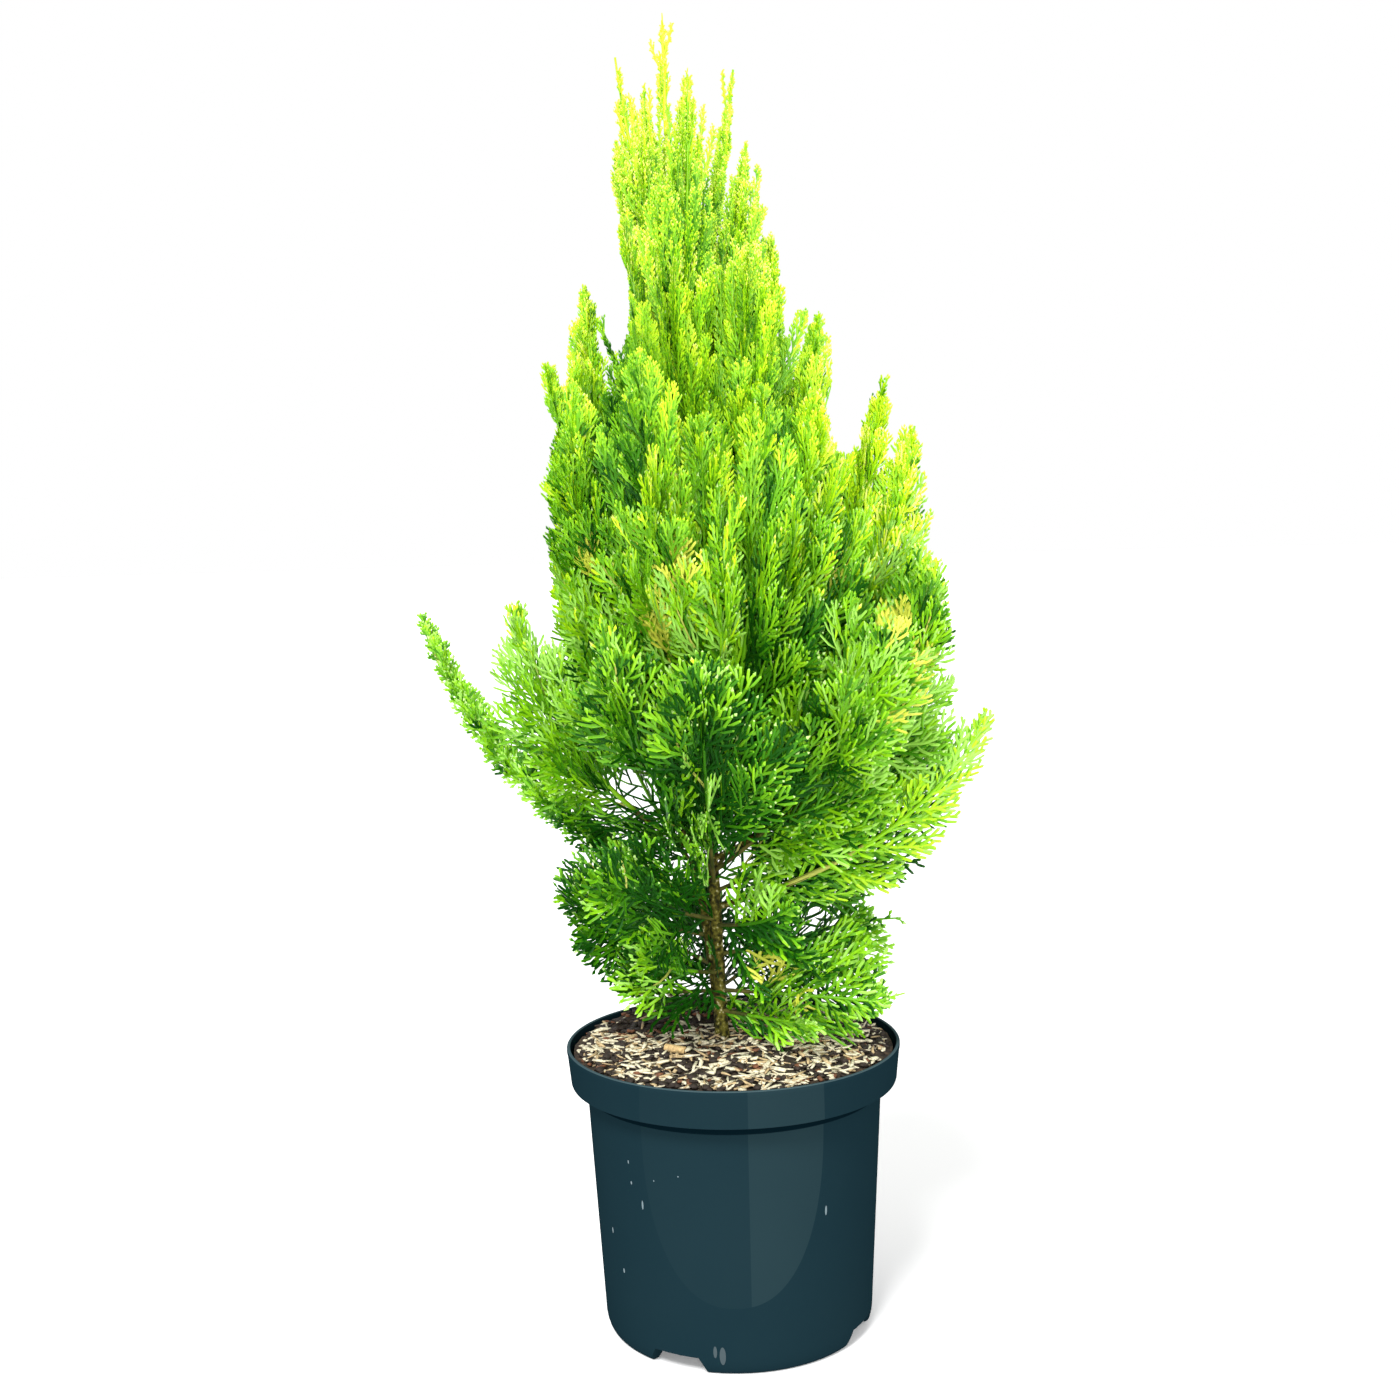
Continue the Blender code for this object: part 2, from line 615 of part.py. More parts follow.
class Crown:
    """Every stem and limb as segments, so that a spray can be kept in its own mass's space."""

    def __init__(self, paths):
        self.paths = paths
        starts, ends, owners, widths = [], [], [], []
        for index, path in enumerate(paths):
            shares = [path.split + (1 - path.split) * k / STEM_PIECES for k in range(STEM_PIECES + 1)]
            points = [path.at(t) for t in shares]
            starts += points[:-1]
            ends += points[1:]
            owners += [index] * STEM_PIECES
            widths += [path.mass.spray] * STEM_PIECES
        self.starts, self.ends = np.array(starts), np.array(ends)
        self.owners, self.widths = np.array(owners), np.array(widths)
        limb_starts, limb_ends, limb_radii = [], [], []
        for limb in (TRUNK, LEFT_STEM):
            shares = [k / LIMB_PIECES for k in range(LIMB_PIECES + 1)]
            points = [bezier(limb.foot, limb.bend, limb.tip, share) for share in shares]
            limb_starts += points[:-1]
            limb_ends += points[1:]
            limb_radii += [limb_radius(limb, share) for share in shares[:-1]]
        for path in paths:
            if path.mass.bare:
                points = [path.at(path.split * k / BOUGH_PIECES) for k in range(BOUGH_PIECES + 1)]
                limb_starts += points[:-1]
                limb_ends += points[1:]
                limb_radii += [BOUGH_ROOT_RADIUS] * BOUGH_PIECES
        self.limb_starts, self.limb_ends = np.array(limb_starts), np.array(limb_ends)
        self.limb_radii = np.array(limb_radii)

    def bounds(self, spray, owner):
        """Whether a spray stays in the crown's outline, if its mass is one that has to."""
        if self.paths[owner].mass.name in OUTSIDE_CROWN:
            return True
        return bool(beyond_crown(spray.samples()).max() <= 1)

    def holds(self, spray, owner, siblings):
        """Whether a spray stays above the rim, clear of every limb and of the sprays beside it, and
        nearer to its own stem than to any other, each distance taken against that mass's sprays."""
        points = spray.samples()
        if points[:, 2].min() < FOLIAGE_FLOOR:
            return False
        for other in siblings:
            apart = np.linalg.norm(points[2:-2, None] - other.samples()[None, 2:-2], axis=2)
            if apart.min() < CLEAR_OF_SIBLINGS:
                return False
        to_limbs = distances(points, self.limb_starts, self.limb_ends) - self.limb_radii
        if to_limbs.min() < LEAF_CLEARANCE:
            return False
        to_stems = distances(points, self.starts, self.ends) / self.widths
        own = to_stems[:, self.owners == owner].min(1)
        others = to_stems[:, self.owners != owner].min(1)
        return bool((own < others - LEAF_CLEARANCE / self.widths.min()).all())


def sprays_of(path, index, crown):
    """The side sprays of one mass, by a seeded rule, and the one that ends its stem. Where a spray
    doesn't fit its space, it turns, closes up and gets shorter."""
    mass = path.mass
    chance = random.Random(SEED + index)
    turn = math.radians(chance.uniform(-FACING_SPREAD, FACING_SPREAD))
    facing = Matrix.Rotation(turn, 3, "Z") @ Vector((0, -1, 0))
    found = []
    for k in range(mass.count):
        place = (k + 0.5) / mass.count
        t = path.split + (1 - path.split) * (FIRST_SPRAY + (LAST_SPRAY - FIRST_SPRAY) * place)
        heading = path.heading(t)
        outward = facing.cross(heading).normalized()
        side = 1 if k % 2 else -1
        quarter_turn = 90 if k % 3 == 2 else 0
        envelope = 1.0 - SHORTER_TOWARDS_TIP * place
        for attempt in range(ATTEMPTS):
            spread = LEAN_SPREAD + SPREAD_PER_ATTEMPT * attempt
            closing = 1 - SHRINK_PER_ATTEMPT * attempt
            angle = math.radians(chance.uniform(-spread, spread) + quarter_turn)
            lean = Matrix.Rotation(angle, 3, heading) @ outward * side
            opening = SPRAY_OPENING * chance.uniform(*OPENING_RANGE) * closing
            length = mass.spray * envelope * chance.uniform(*LENGTH_RANGE) * closing
            start = heading * math.cos(opening) + lean * math.sin(opening)
            roll = math.radians(chance.uniform(-ROLL_SPREAD, ROLL_SPREAD))
            spray = Spray(path.at(t), start, heading, length, roll)
            if crown.bounds(spray, index) and crown.holds(spray, index, found):
                found.append(spray)
                break
    t = 1 - TIP_SPRAY * mass.spray / path.length
    end = path.end - path.at(t)
    for attempt in range(ATTEMPTS):
        roll = math.radians(chance.uniform(-TIP_ROLL_PER_ATTEMPT, TIP_ROLL_PER_ATTEMPT) * attempt)
        narrowing = 1 - TIP_SHRINK_PER_ATTEMPT * attempt
        spray = Spray(path.at(t), end, facing.cross(end), end.length, roll, narrowing)
        if crown.holds(spray, index, ()):
            found.append(spray)
            break
    return found


def join(obj, others):
    """One Boolean union of an object with several others, applied."""
    group = bpy.data.collections.new("to_join")
    for other in others:
        group.objects.link(other)
    union = obj.modifiers.new("union", "BOOLEAN")
    union.operation = "UNION"
    union.operand_type = "COLLECTION"
    union.collection = group
    union.solver = "EXACT"
    bpy.context.view_layer.update()
    graph = bpy.context.evaluated_depsgraph_get()
    mesh = bpy.data.meshes.new_from_object(obj.evaluated_get(graph))
    obj.modifiers.clear()
    obj.data = mesh
    for other in others:
        bpy.data.objects.remove(other)
    bpy.data.collections.remove(group)


def make_mass(path, index, crown, finish):
    """One mass of foliage: a three-sided stem with toothed sprays fused on."""
    gap = SEAT_GAP / path.length if path.mass.bare else 0.0
    stem = make_tube_object(f"foliage_{path.mass.name}", path, path.split + gap, 1.0, STEM_RINGS,
                            STEM_SIDES, finish)
    parts = []
    for number, spray in enumerate(sprays_of(path, index, crown)):
        bm = bmesh.new()
        spray.add_to(bm)
        parts.append(add_object(f"spray_{index}_{number}", bm, finish))
    join(stem, parts)
    return stem


def main():
    clear_scene()
    bark = material("bark", BARK_COLOUR)
    leaf = material("leaf", LEAF_COLOUR)
    make_pot()
    make_soil()
    for limb in (TRUNK, LEFT_STEM):
        make_limb(limb, bark)
    paths = [Path(mass) for mass in MASSES]
    crown = Crown(paths)
    for index, path in enumerate(paths):
        if path.mass.bare:
            make_tube_object(f"bough_{path.mass.name}", path, path.first, path.split, BOUGH_RINGS,
                             BOUGH_SIDES, bark)
        make_mass(path, index, crown, leaf)


main()
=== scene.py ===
"""Looks of the potted oriental arborvitae: bark, fine sprays of foliage, potting soil with wood chips,
the glossy nursery pot, and a plain studio. Metres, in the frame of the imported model."""

import math
import random
from collections import namedtuple

import bmesh
import bpy
import numpy as np
from mathutils import Matrix, Vector, noise


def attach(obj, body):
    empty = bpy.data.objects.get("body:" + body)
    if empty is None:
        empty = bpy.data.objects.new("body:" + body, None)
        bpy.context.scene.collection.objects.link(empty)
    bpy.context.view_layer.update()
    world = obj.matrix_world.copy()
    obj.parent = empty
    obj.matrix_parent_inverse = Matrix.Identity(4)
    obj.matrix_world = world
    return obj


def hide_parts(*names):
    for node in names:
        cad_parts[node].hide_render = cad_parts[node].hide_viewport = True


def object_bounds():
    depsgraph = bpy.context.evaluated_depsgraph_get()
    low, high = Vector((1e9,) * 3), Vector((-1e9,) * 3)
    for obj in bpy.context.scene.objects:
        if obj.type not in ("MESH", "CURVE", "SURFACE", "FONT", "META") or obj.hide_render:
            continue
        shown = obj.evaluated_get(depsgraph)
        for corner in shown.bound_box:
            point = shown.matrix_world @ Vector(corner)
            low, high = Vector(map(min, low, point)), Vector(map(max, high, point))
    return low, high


# Pot
POT_HEIGHT = 0.240
RIM_RADIUS = 0.140
COLLAR_HEIGHT = 0.031
COLLAR_TAPER = 0.003
COLLAR_STEP = 0.013
BODY_LOW_RADIUS = 0.1135
FOOT_RADIUS = 0.107
FOOT_ROUNDING = 0.016
WALL = 0.0020
FLOOR_LEVEL = 0.0165
FLOOR_THICKNESS = 0.0025
FOOT_WIDTH = 0.012
PAD_RADIUS = 0.030
NOTCH_HEIGHT = 0.0135
NOTCH_BEARINGS = (-28.0, 64.0, 152.0, 244.0)
NOTCH_HALF_TOP = 10.0
NOTCH_HALF_FOOT = 14.2
POT_SEGMENTS = 160

# Soil
SOIL_TOP = 0.244
SOIL_EDGE = 0.235
SOIL_MOUND_RADIUS = 0.060
HEAP_PLACE = (-0.050, 0.108)
HEAP_HEIGHT = 0.0105
HEAP_SPREAD = 0.040
SEAT_GAP = 0.0003

# Limbs, with the places that the solids have
Limb = namedtuple("Limb", "name foot bend tip foot_radius tip_radius")
TRUNK = Limb(
    "trunk",
    foot=Vector((-0.009, -0.010, SOIL_TOP + SEAT_GAP)),
    bend=Vector((-0.018, -0.004, 0.600)),
    tip=Vector((-0.036, 0.002, 0.985)),
    foot_radius=0.0052,
    tip_radius=0.0013,
)
LEFT_STEM = Limb(
    "left_stem",
    foot=Vector((-0.0105, 0.014, SOIL_TOP + SEAT_GAP)),
    bend=Vector((-0.024, 0.028, 0.420)),
    tip=Vector((-0.084, 0.030, 0.640)),
    foot_radius=0.0040,
    tip_radius=0.0019,
)
BOUGH_ROOT_RADIUS = 0.0026
STEM_ROOT_RADIUS = 0.0019
STEM_TIP_RADIUS = 0.0006

# The bark turns green between these heights
YOUNG_BARK = (0.60, 0.90)
YOUNG_BARK_COLOUR = (0.46, 0.58, 0.05)

# The pot's colour, a painted sheen that stands for a reflection on its front, a painted shadow under the collar and a
# painted highlight along the rim
POT_COLOUR = (0.0058, 0.0182, 0.0250)
POT_SHEEN = (0.0138, 0.0305, 0.0368)
POT_COLLAR_SHADOW = (0.0014, 0.0065, 0.0100)
POT_LIP_HIGHLIGHT = (0.045, 0.075, 0.085)
COLLAR_SHADOW_DEPTH = 0.0085
LIP_HIGHLIGHT_DEPTH = 0.0006
SHEEN_MIDDLE = -0.004
SHEEN_HALF_WIDTH = 0.072
SHEEN_DEPTH = 0.152
SHEEN_STEP = 0.008

# Dried specks on the pot: bearing from the front towards the right in degrees, height, width, length
SPECKS = (
    (-39.6, 0.134, 0.0018, 0.0075), (35.2, 0.128, 0.0020, 0.0080), (-45.7, 0.167, 0.0014, 0.0030),
    (-44.8, 0.150, 0.0016, 0.0028), (-60.4, 0.100, 0.0018, 0.0050), (-53.8, 0.070, 0.0020, 0.0040),
    (-22.9, 0.164, 0.0012, 0.0012), (-33.4, 0.157, 0.0012, 0.0012),
)
SMUDGES = ((-8.0, 0.017, 0.0050, 0.0150), (-11.0, 0.020, 0.0030, 0.0100))

# The short round piece of wood that lies on the soil
PEG_PLACE = (-0.048, -0.046)
PEG_CLEAR = 0.009
PEG_LENGTH = 0.0185
PEG_RADIUS = 0.0034
PEG_HEADING = (0.90, -0.42, -0.05)
COMPOST_PATCH = (-0.055, 0.060, 0.055)

# Foliage masses, as in the solids: name, limb, root height, tip, spray length, count, bare share
Mass = namedtuple("Mass", "name limb root tip spray count bare")
MASSES = (
    # the crest, where the trunk ends
    Mass("leader", TRUNK, 0.985, (-0.037, 0.000, 1.074), 0.046, 2, 0),
    Mass("left_spire", TRUNK, 0.860, (-0.075, -0.008, 1.044), 0.060, 4, 0),
    Mass("right_spire", TRUNK, 0.830, (0.019, 0.006, 1.036), 0.050, 4, 0),
    Mass("left_crest", TRUNK, 0.800, (-0.078, 0.018, 0.985), 0.082, 4, 0),
    Mass("front_crest", TRUNK, 0.790, (-0.018, -0.036, 1.022), 0.086, 4, 0),
    Mass("back_crest", TRUNK, 0.780, (-0.054, 0.036, 1.028), 0.086, 4, 0),
    Mass("right_shoulder", TRUNK, 0.730, (0.028, 0.002, 0.974), 0.088, 5, 0),
    # the column under it
    Mass("front_column", TRUNK, 0.640, (-0.038, -0.084, 0.920), 0.115, 5, 0),
    Mass("back_column", TRUNK, 0.630, (-0.020, 0.090, 0.915), 0.115, 5, 0),
    Mass("left_column", TRUNK, 0.650, (-0.068, -0.040, 0.912), 0.105, 5, 0),
    Mass("left_back_column", TRUNK, 0.610, (-0.066, 0.066, 0.890), 0.105, 5, 0),
    Mass("right_column", TRUNK, 0.600, (0.046, 0.000, 0.893), 0.105, 5, 0),
    Mass("right_front_column", TRUNK, 0.575, (0.030, -0.080, 0.880), 0.115, 5, 0),
    Mass("right_back_column", TRUNK, 0.570, (0.038, 0.080, 0.868), 0.115, 5, 0),
    # the flanks, which widen the crown
    Mass("left_leader", LEFT_STEM, 0.640, (-0.107, 0.015, 0.866), 0.095, 5, 0),
    Mass("left_edge", LEFT_STEM, 0.488, (-0.137, -0.002, 0.803), 0.105, 5, 0),
    Mass("left_front", LEFT_STEM, 0.455, (-0.118, -0.085, 0.775), 0.120, 5, 0),
    Mass("left_back", LEFT_STEM, 0.470, (-0.122, 0.105, 0.765), 0.120, 5, 0),
    Mass("front_left", TRUNK, 0.480, (-0.060, -0.126, 0.790), 0.125, 5, 0),
    Mass("front_centre", TRUNK, 0.440, (0.032, -0.136, 0.765), 0.125, 5, 0.25),
    Mass("inner_front", TRUNK, 0.425, (-0.014, -0.118, 0.745), 0.125, 5, 0),
    Mass("right_front", TRUNK, 0.465, (0.072, -0.098, 0.762), 0.120, 5, 0.25),
    Mass("right_leader", TRUNK, 0.520, (0.084, 0.008, 0.838), 0.100, 5, 0),
    Mass("right_back", TRUNK, 0.470, (0.080, 0.100, 0.775), 0.120, 5, 0),
    Mass("back_centre", TRUNK, 0.460, (-0.015, 0.142, 0.785), 0.125, 5, 0),
    Mass("right_high", TRUNK, 0.450, (0.136, 0.004, 0.783), 0.110, 5, 0.30),
    Mass("right_edge", TRUNK, 0.420, (0.160, -0.004, 0.748), 0.110, 5, 0.30),
    Mass("right_flank", TRUNK, 0.395, (0.171, -0.062, 0.628), 0.115, 5, 0.30),
    # the boughs below them, which reach furthest
    Mass("left_tail", LEFT_STEM, 0.358, (-0.250, 0.012, 0.602), 0.050, 6, 0.28),
    Mass("left_inner", LEFT_STEM, 0.400, (-0.172, -0.016, 0.606), 0.088, 5, 0.20),
    Mass("right_tail", TRUNK, 0.355, (0.206, -0.072, 0.516), 0.078, 6, 0.20),
    Mass("right_low", TRUNK, 0.368, (0.168, 0.030, 0.484), 0.095, 5, 0),
    Mass("front_low_left", TRUNK, 0.385, (-0.092, -0.146, 0.600), 0.120, 5, 0),
    Mass("front_low", TRUNK, 0.375, (-0.020, -0.150, 0.560), 0.115, 5, 0),
    Mass("front_low_right", TRUNK, 0.385, (0.122, -0.130, 0.585), 0.115, 5, 0),
    Mass("back_low_left", LEFT_STEM, 0.380, (-0.125, 0.150, 0.590), 0.120, 5, 0),
    Mass("back_low_right", TRUNK, 0.385, (0.100, 0.155, 0.580), 0.125, 5, 0),
    # the skirt, whose lowest sprays lie out almost level
    Mass("left_skirt", LEFT_STEM, 0.325, (-0.134, 0.000, 0.372), 0.100, 5, 0),
    Mass("left_low_skirt", LEFT_STEM, 0.278, (-0.100, -0.020, 0.290), 0.080, 4, 0),
    Mass("left_back_skirt", LEFT_STEM, 0.300, (-0.105, 0.098, 0.345), 0.090, 5, 0),
    Mass("left_front_skirt", TRUNK, 0.345, (-0.092, -0.092, 0.400), 0.090, 4, 0),
    Mass("right_skirt", TRUNK, 0.315, (0.122, 0.024, 0.340), 0.095, 5, 0),
    Mass("right_front_skirt", TRUNK, 0.285, (0.128, -0.045, 0.280), 0.090, 5, 0),
    Mass("front_skirt", TRUNK, 0.340, (0.044, -0.114, 0.376), 0.090, 4, 0),
    Mass("inner_left_skirt", TRUNK, 0.300, (-0.066, -0.062, 0.326), 0.085, 5, 0),
    Mass("inner_right_skirt", TRUNK, 0.268, (0.058, -0.082, 0.276), 0.080, 5, 0),
    Mass("inner_back_skirt", LEFT_STEM, 0.278, (0.038, 0.108, 0.292), 0.090, 5, 0),
    Mass("back_skirt", LEFT_STEM, 0.312, (-0.030, 0.128, 0.322), 0.100, 5, 0),
)

# Fine growth: its sizes follow the height, from long arching shoots low down to short ones in the crest
SEED = 7
HEIGHTS = (0.25, 0.50, 0.65, 0.80, 0.92, 1.02, 1.07)
RIB_OPENING = (48, 40, 30, 24, 22, 22, 22)
RIB_PITCH = (0.0056, 0.0058, 0.0046, 0.0036, 0.0036, 0.0075, 0.0090)
RIB_LENGTH = (0.130, 0.130, 0.125, 0.115, 0.070, 0.024, 0.015)
BRANCH_ANGLE = (46, 44, 38, 34, 32, 34, 36)
SHOOT_PITCH = (0.0092, 0.0084, 0.0058, 0.0044, 0.0038, 0.0034, 0.0032)
SHOOT_LENGTH = (0.052, 0.048, 0.032, 0.022, 0.014, 0.0070, 0.0060)
LEAFLET_PITCH = (0.0060, 0.0056, 0.0037, 0.0027, 0.0024, 0.0024, 0.0026)
LEAFLET_LENGTH = (0.027, 0.024, 0.0145, 0.0086, 0.0062, 0.0044, 0.0040)
STRAND_WIDTH = (0.0028, 0.0026, 0.0021, 0.0017, 0.0015, 0.0015, 0.0016)
UPWARD_PULL = (0.02, 0.22, 0.65, 0.85, 0.80, 0.60, 0.50)
LONG_LEAFLET = 0.0100
LONG_SHOOT = 0.0140
GREEN_FROM = 0.24
GREEN_ABOVE = 0.70
CLOSING = 0.22
GROWN_BARE = 0.55
PALE_TIPS_ABOVE = 0.85
RIB_SWEEP = math.radians(24)
RIB_WIDTH = 0.0018
PALE_RIB_EVERY = 22
FACING_SPREAD = 35

# The crown's outline: how far it reaches to the left, to the right, and to the front and the back, at
# each height. The masses named after it grow out of that outline.
Reach = namedtuple("Reach", "height left right depth")
CROWN = (
    Reach(0.25, 0.064, 0.112, 0.100),
    Reach(0.28, 0.084, 0.136, 0.120),
    Reach(0.30, 0.104, 0.130, 0.135),
    Reach(0.325, 0.128, 0.136, 0.146),
    Reach(0.34, 0.132, 0.114, 0.150),
    Reach(0.36, 0.138, 0.116, 0.158),
    Reach(0.375, 0.142, 0.146, 0.163),
    Reach(0.40, 0.136, 0.178, 0.170),
    Reach(0.45, 0.162, 0.192, 0.175),
    Reach(0.50, 0.160, 0.190, 0.175),
    Reach(0.55, 0.150, 0.190, 0.174),
    Reach(0.60, 0.140, 0.181, 0.172),
    Reach(0.65, 0.144, 0.177, 0.168),
    Reach(0.72, 0.142, 0.166, 0.158),
    Reach(0.76, 0.130, 0.158, 0.150),
    Reach(0.78, 0.139, 0.142, 0.145),
    Reach(0.79, 0.142, 0.139, 0.143),
    Reach(0.80, 0.142, 0.104, 0.140),
    Reach(0.83, 0.126, 0.092, 0.130),
    Reach(0.845, 0.118, 0.086, 0.126),
    Reach(0.853, 0.115, 0.060, 0.123),
    Reach(0.868, 0.112, 0.054, 0.118),
    Reach(0.88, 0.080, 0.052, 0.114),
    Reach(0.92, 0.081, 0.044, 0.098),
    Reach(0.95, 0.084, 0.042, 0.082),
    Reach(1.00, 0.077, 0.028, 0.060),
    Reach(1.08, 0.070, 0.027, 0.030),
)
CROWN_ROUNDNESS = 2.4
OUTSIDE_CROWN = ("left_tail", "left_inner", "right_tail")
OUTLYING_ABOVE = 0.43
SLIM = {"left_tail": 0.46, "right_spire": 0.75}

# Masses whose sprays all lie in one plane, as open fans of long fingers
FLAT = ("right_tail", "front_skirt", "inner_right_skirt", "right_front_skirt")
FLAT_SPREAD = 13
FLAT_PITCH = 0.85
FLAT_RIB_WIDTH = 0.0027
FINGER_TIGHTNESS = 0.55
LOW_SIDE = 0.90
FINGER_SHARE = 0.34

# Masses at the crown's edge, which end in a slender tip
SLENDER = (
    "left_spire", "right_spire", "left_crest", "right_shoulder", "left_leader", "left_edge",
    "right_leader", "right_high", "right_edge", "left_inner", "right_tail",
)

# Single sprigs that stand out of the crown: mass, share of its way, tip
Sprig = namedtuple("Sprig", "mass share tip")
SPRIGS = (
    Sprig("leader", 0.55, (-0.047, 0.000, 1.058)),
    Sprig("leader", 0.72, (-0.029, 0.000, 1.071)),
    Sprig("right_spire", 0.84, (0.0105, 0.006, 1.035)),
    Sprig("left_spire", 0.45, (-0.062, -0.008, 1.010)),
    Sprig("back_crest", 0.60, (-0.042, 0.030, 1.012)),
    Sprig("front_crest", 0.62, (-0.006, -0.030, 0.998)),
    Sprig("front_crest", 0.50, (-0.034, -0.030, 1.000)),
    Sprig("right_shoulder", 0.60, (0.038, 0.002, 0.957)),
    Sprig("right_shoulder", 0.45, (0.041, 0.002, 0.926)),
    Sprig("right_shoulder", 0.50, (0.017, 0.002, 0.950)),
    Sprig("front_crest", 0.55, (0.002, -0.028, 0.982)),
    Sprig("right_column", 0.72, (0.049, 0.000, 0.905)),
    Sprig("right_skirt", 0.80, (0.146, 0.010, 0.338)),
    Sprig("right_front_skirt", 0.85, (0.143, -0.030, 0.284)),
)
SPRIG_BOW = 0.12
PALE_STEM = "right_tail"
PALE_FROM = 0.18
PALE_UNTIL = 0.28

# Places in the photograph's view, carried to the trunk's depth: middle across and up, half their width
# and height, and how much of what they name
View = namedtuple("View", "across up half_width half_height amount")

# Openings that show the sky, with the share of the twigs that they lack
SKY_PLACES = (
    View(-0.083, 0.451, 0.027, 0.019, 0.65), View(-0.046, 0.393, 0.003, 0.010, 0.60),
    View(0.013, 0.401, 0.008, 0.009, 0.70), View(0.072, 0.346, 0.005, 0.010, 0.60),
    View(-0.080, 0.856, 0.010, 0.040, 1.0), View(0.104, 0.762, 0.013, 0.034, 1.0),
    View(-0.193, 0.606, 0.013, 0.022, 1.0), View(-0.178, 0.623, 0.010, 0.008, 1.0),
    View(-0.150, 0.600, 0.010, 0.016, 0.8),
)

# Where the trunk shows between the sprays, with the share of the twigs before it that are left out
CLEAR_PLACES = (View(-0.011, 0.376, 0.006, 0.036, 0.7),)

# Where the sprays are darker than their height alone would make them, or lighter where below 0
SHADE_PLACES = (
    View(0.048, 0.574, 0.032, 0.034, 1.4), View(0.008, 0.500, 0.040, 0.040, 1.1),
    View(0.040, 0.446, 0.034, 0.026, 2.2), View(-0.060, 0.465, 0.045, 0.030, 1.2),
    View(-0.076, 0.728, 0.030, 0.045, 1.3), View(-0.022, 0.905, 0.034, 0.036, 1.1),
    View(0.047, 0.700, 0.024, 0.048, 1.3), View(0.090, 0.765, 0.026, 0.060, -1.4),
    View(-0.118, 0.805, 0.028, 0.045, -1.3), View(-0.035, 0.700, 0.035, 0.040, -1.1),
    View(-0.040, 0.588, 0.036, 0.030, -2.0), View(-0.126, 0.585, 0.034, 0.040, -1.8),
    View(0.120, 0.700, 0.050, 0.060, -1.2), View(0.125, 0.540, 0.032, 0.028, -0.9),
    View(0.003, 0.585, 0.026, 0.030, -1.5), View(0.120, 0.586, 0.048, 0.024, 1.6),
    View(0.168, 0.572, 0.026, 0.034, 1.0), View(0.128, 0.622, 0.026, 0.022, -1.4),
    View(-0.160, 0.565, 0.045, 0.040, -1.0), View(0.176, 0.494, 0.044, 0.034, -2.0),
    View(0.000, 0.424, 0.030, 0.028, -2.6), View(0.070, 0.400, 0.050, 0.032, -1.2),
    View(-0.056, 0.295, 0.042, 0.034, -1.8), View(0.006, 0.352, 0.032, 0.040, -2.2),
    View(0.030, 0.262, 0.035, 0.030, -1.8), View(-0.046, 0.378, 0.026, 0.026, 2.4),
    View(-0.076, 0.796, 0.022, 0.030, 1.1), View(0.086, 0.622, 0.024, 0.024, -0.7),
    View(-0.122, 0.500, 0.030, 0.028, -1.2), View(0.022, 0.366, 0.036, 0.024, -0.7),
    View(0.040, 0.330, 0.028, 0.022, 2.0), View(0.160, 0.668, 0.026, 0.024, 0.8),
    View(-0.124, 0.420, 0.026, 0.024, 0.7), View(-0.118, 0.634, 0.026, 0.030, 1.0),
    View(-0.080, 0.628, 0.020, 0.026, -0.8), View(0.164, 0.626, 0.024, 0.024, -0.9),
    View(-0.122, 0.546, 0.026, 0.026, -1.0), View(0.166, 0.460, 0.026, 0.022, -1.2),
    View(0.120, 0.400, 0.030, 0.036, 0.7), View(0.119, 0.332, 0.026, 0.022, -0.9),
    View(0.119, 0.288, 0.026, 0.022, 0.7),
)
SHADE_DEPTH_LIMIT = 0.06
SKY_CHANCE = 0.85
SKY_SAMPLES = (0.35, 0.6, 0.8, 1.0)
CELL_SLACK = 2.4
MOST_TRIANGLES = 195000

# Triangles of a mass's stem, of a rib, and of the short and the long shoots and leaflets
STEM_FACES = 200
RIB_FACES = 14
SHOOT_FACES = (6, 10)
LEAFLET_FACES = (4, 8)

# Masses of an even green, and what is left of their change of tone from shoot to shoot
CALM = ("left_tail", "left_inner", "right_tail")
CALM_SHARE = 0.5

# Where the photograph shows tan or yellow sprays, and how far round each place
TAN_PLACES = (
    View(-0.034, 0.632, 0.013, 0.017, 1), View(-0.048, 0.587, 0.013, 0.017, 1),
    View(-0.108, 0.642, 0.009, 0.010, 1), View(-0.077, 0.660, 0.010, 0.009, 1),
    View(0.086, 0.624, 0.010, 0.010, 1), View(0.142, 0.584, 0.013, 0.012, 1),
    View(0.158, 0.547, 0.012, 0.012, 1), View(0.135, 0.514, 0.011, 0.009, 1),
    View(0.030, 0.300, 0.014, 0.014, 1), View(0.062, 0.272, 0.012, 0.010, 1),
)
TAN_CHANCE = 0.70

# Camera, set to the photograph's view
CAMERA_PLACE = (-0.0209, -1.403, 0.658)
CAMERA_PITCH = math.radians(5.28)
CAMERA_ROLL = math.radians(1.47)
CAMERA_LENS = 43.745

# Masses that the photograph shows lighter or darker than their height alone would make them: painted light and shade,
# mass by mass
BRIGHTER = {
    "front_centre": 0.5, "front_left": 0.2, "right_high": 0.5, "right_edge": 0.6, "right_flank": 0.6,
    "right_tail": 0.8, "right_front_skirt": 0.4, "front_column": 0.2, "right_front_column": 0.2,
    "left_back": -0.8, "right_back": -0.6, "left_skirt": -1.0, "left_low_skirt": -0.8,
    "left_back_skirt": -1.2, "left_front_skirt": -0.6, "inner_left_skirt": -0.6, "back_skirt": -1.6,
    "inner_back_skirt": -1.6, "left_inner": 0.2, "right_low": -1.3, "front_low": -0.3,
}

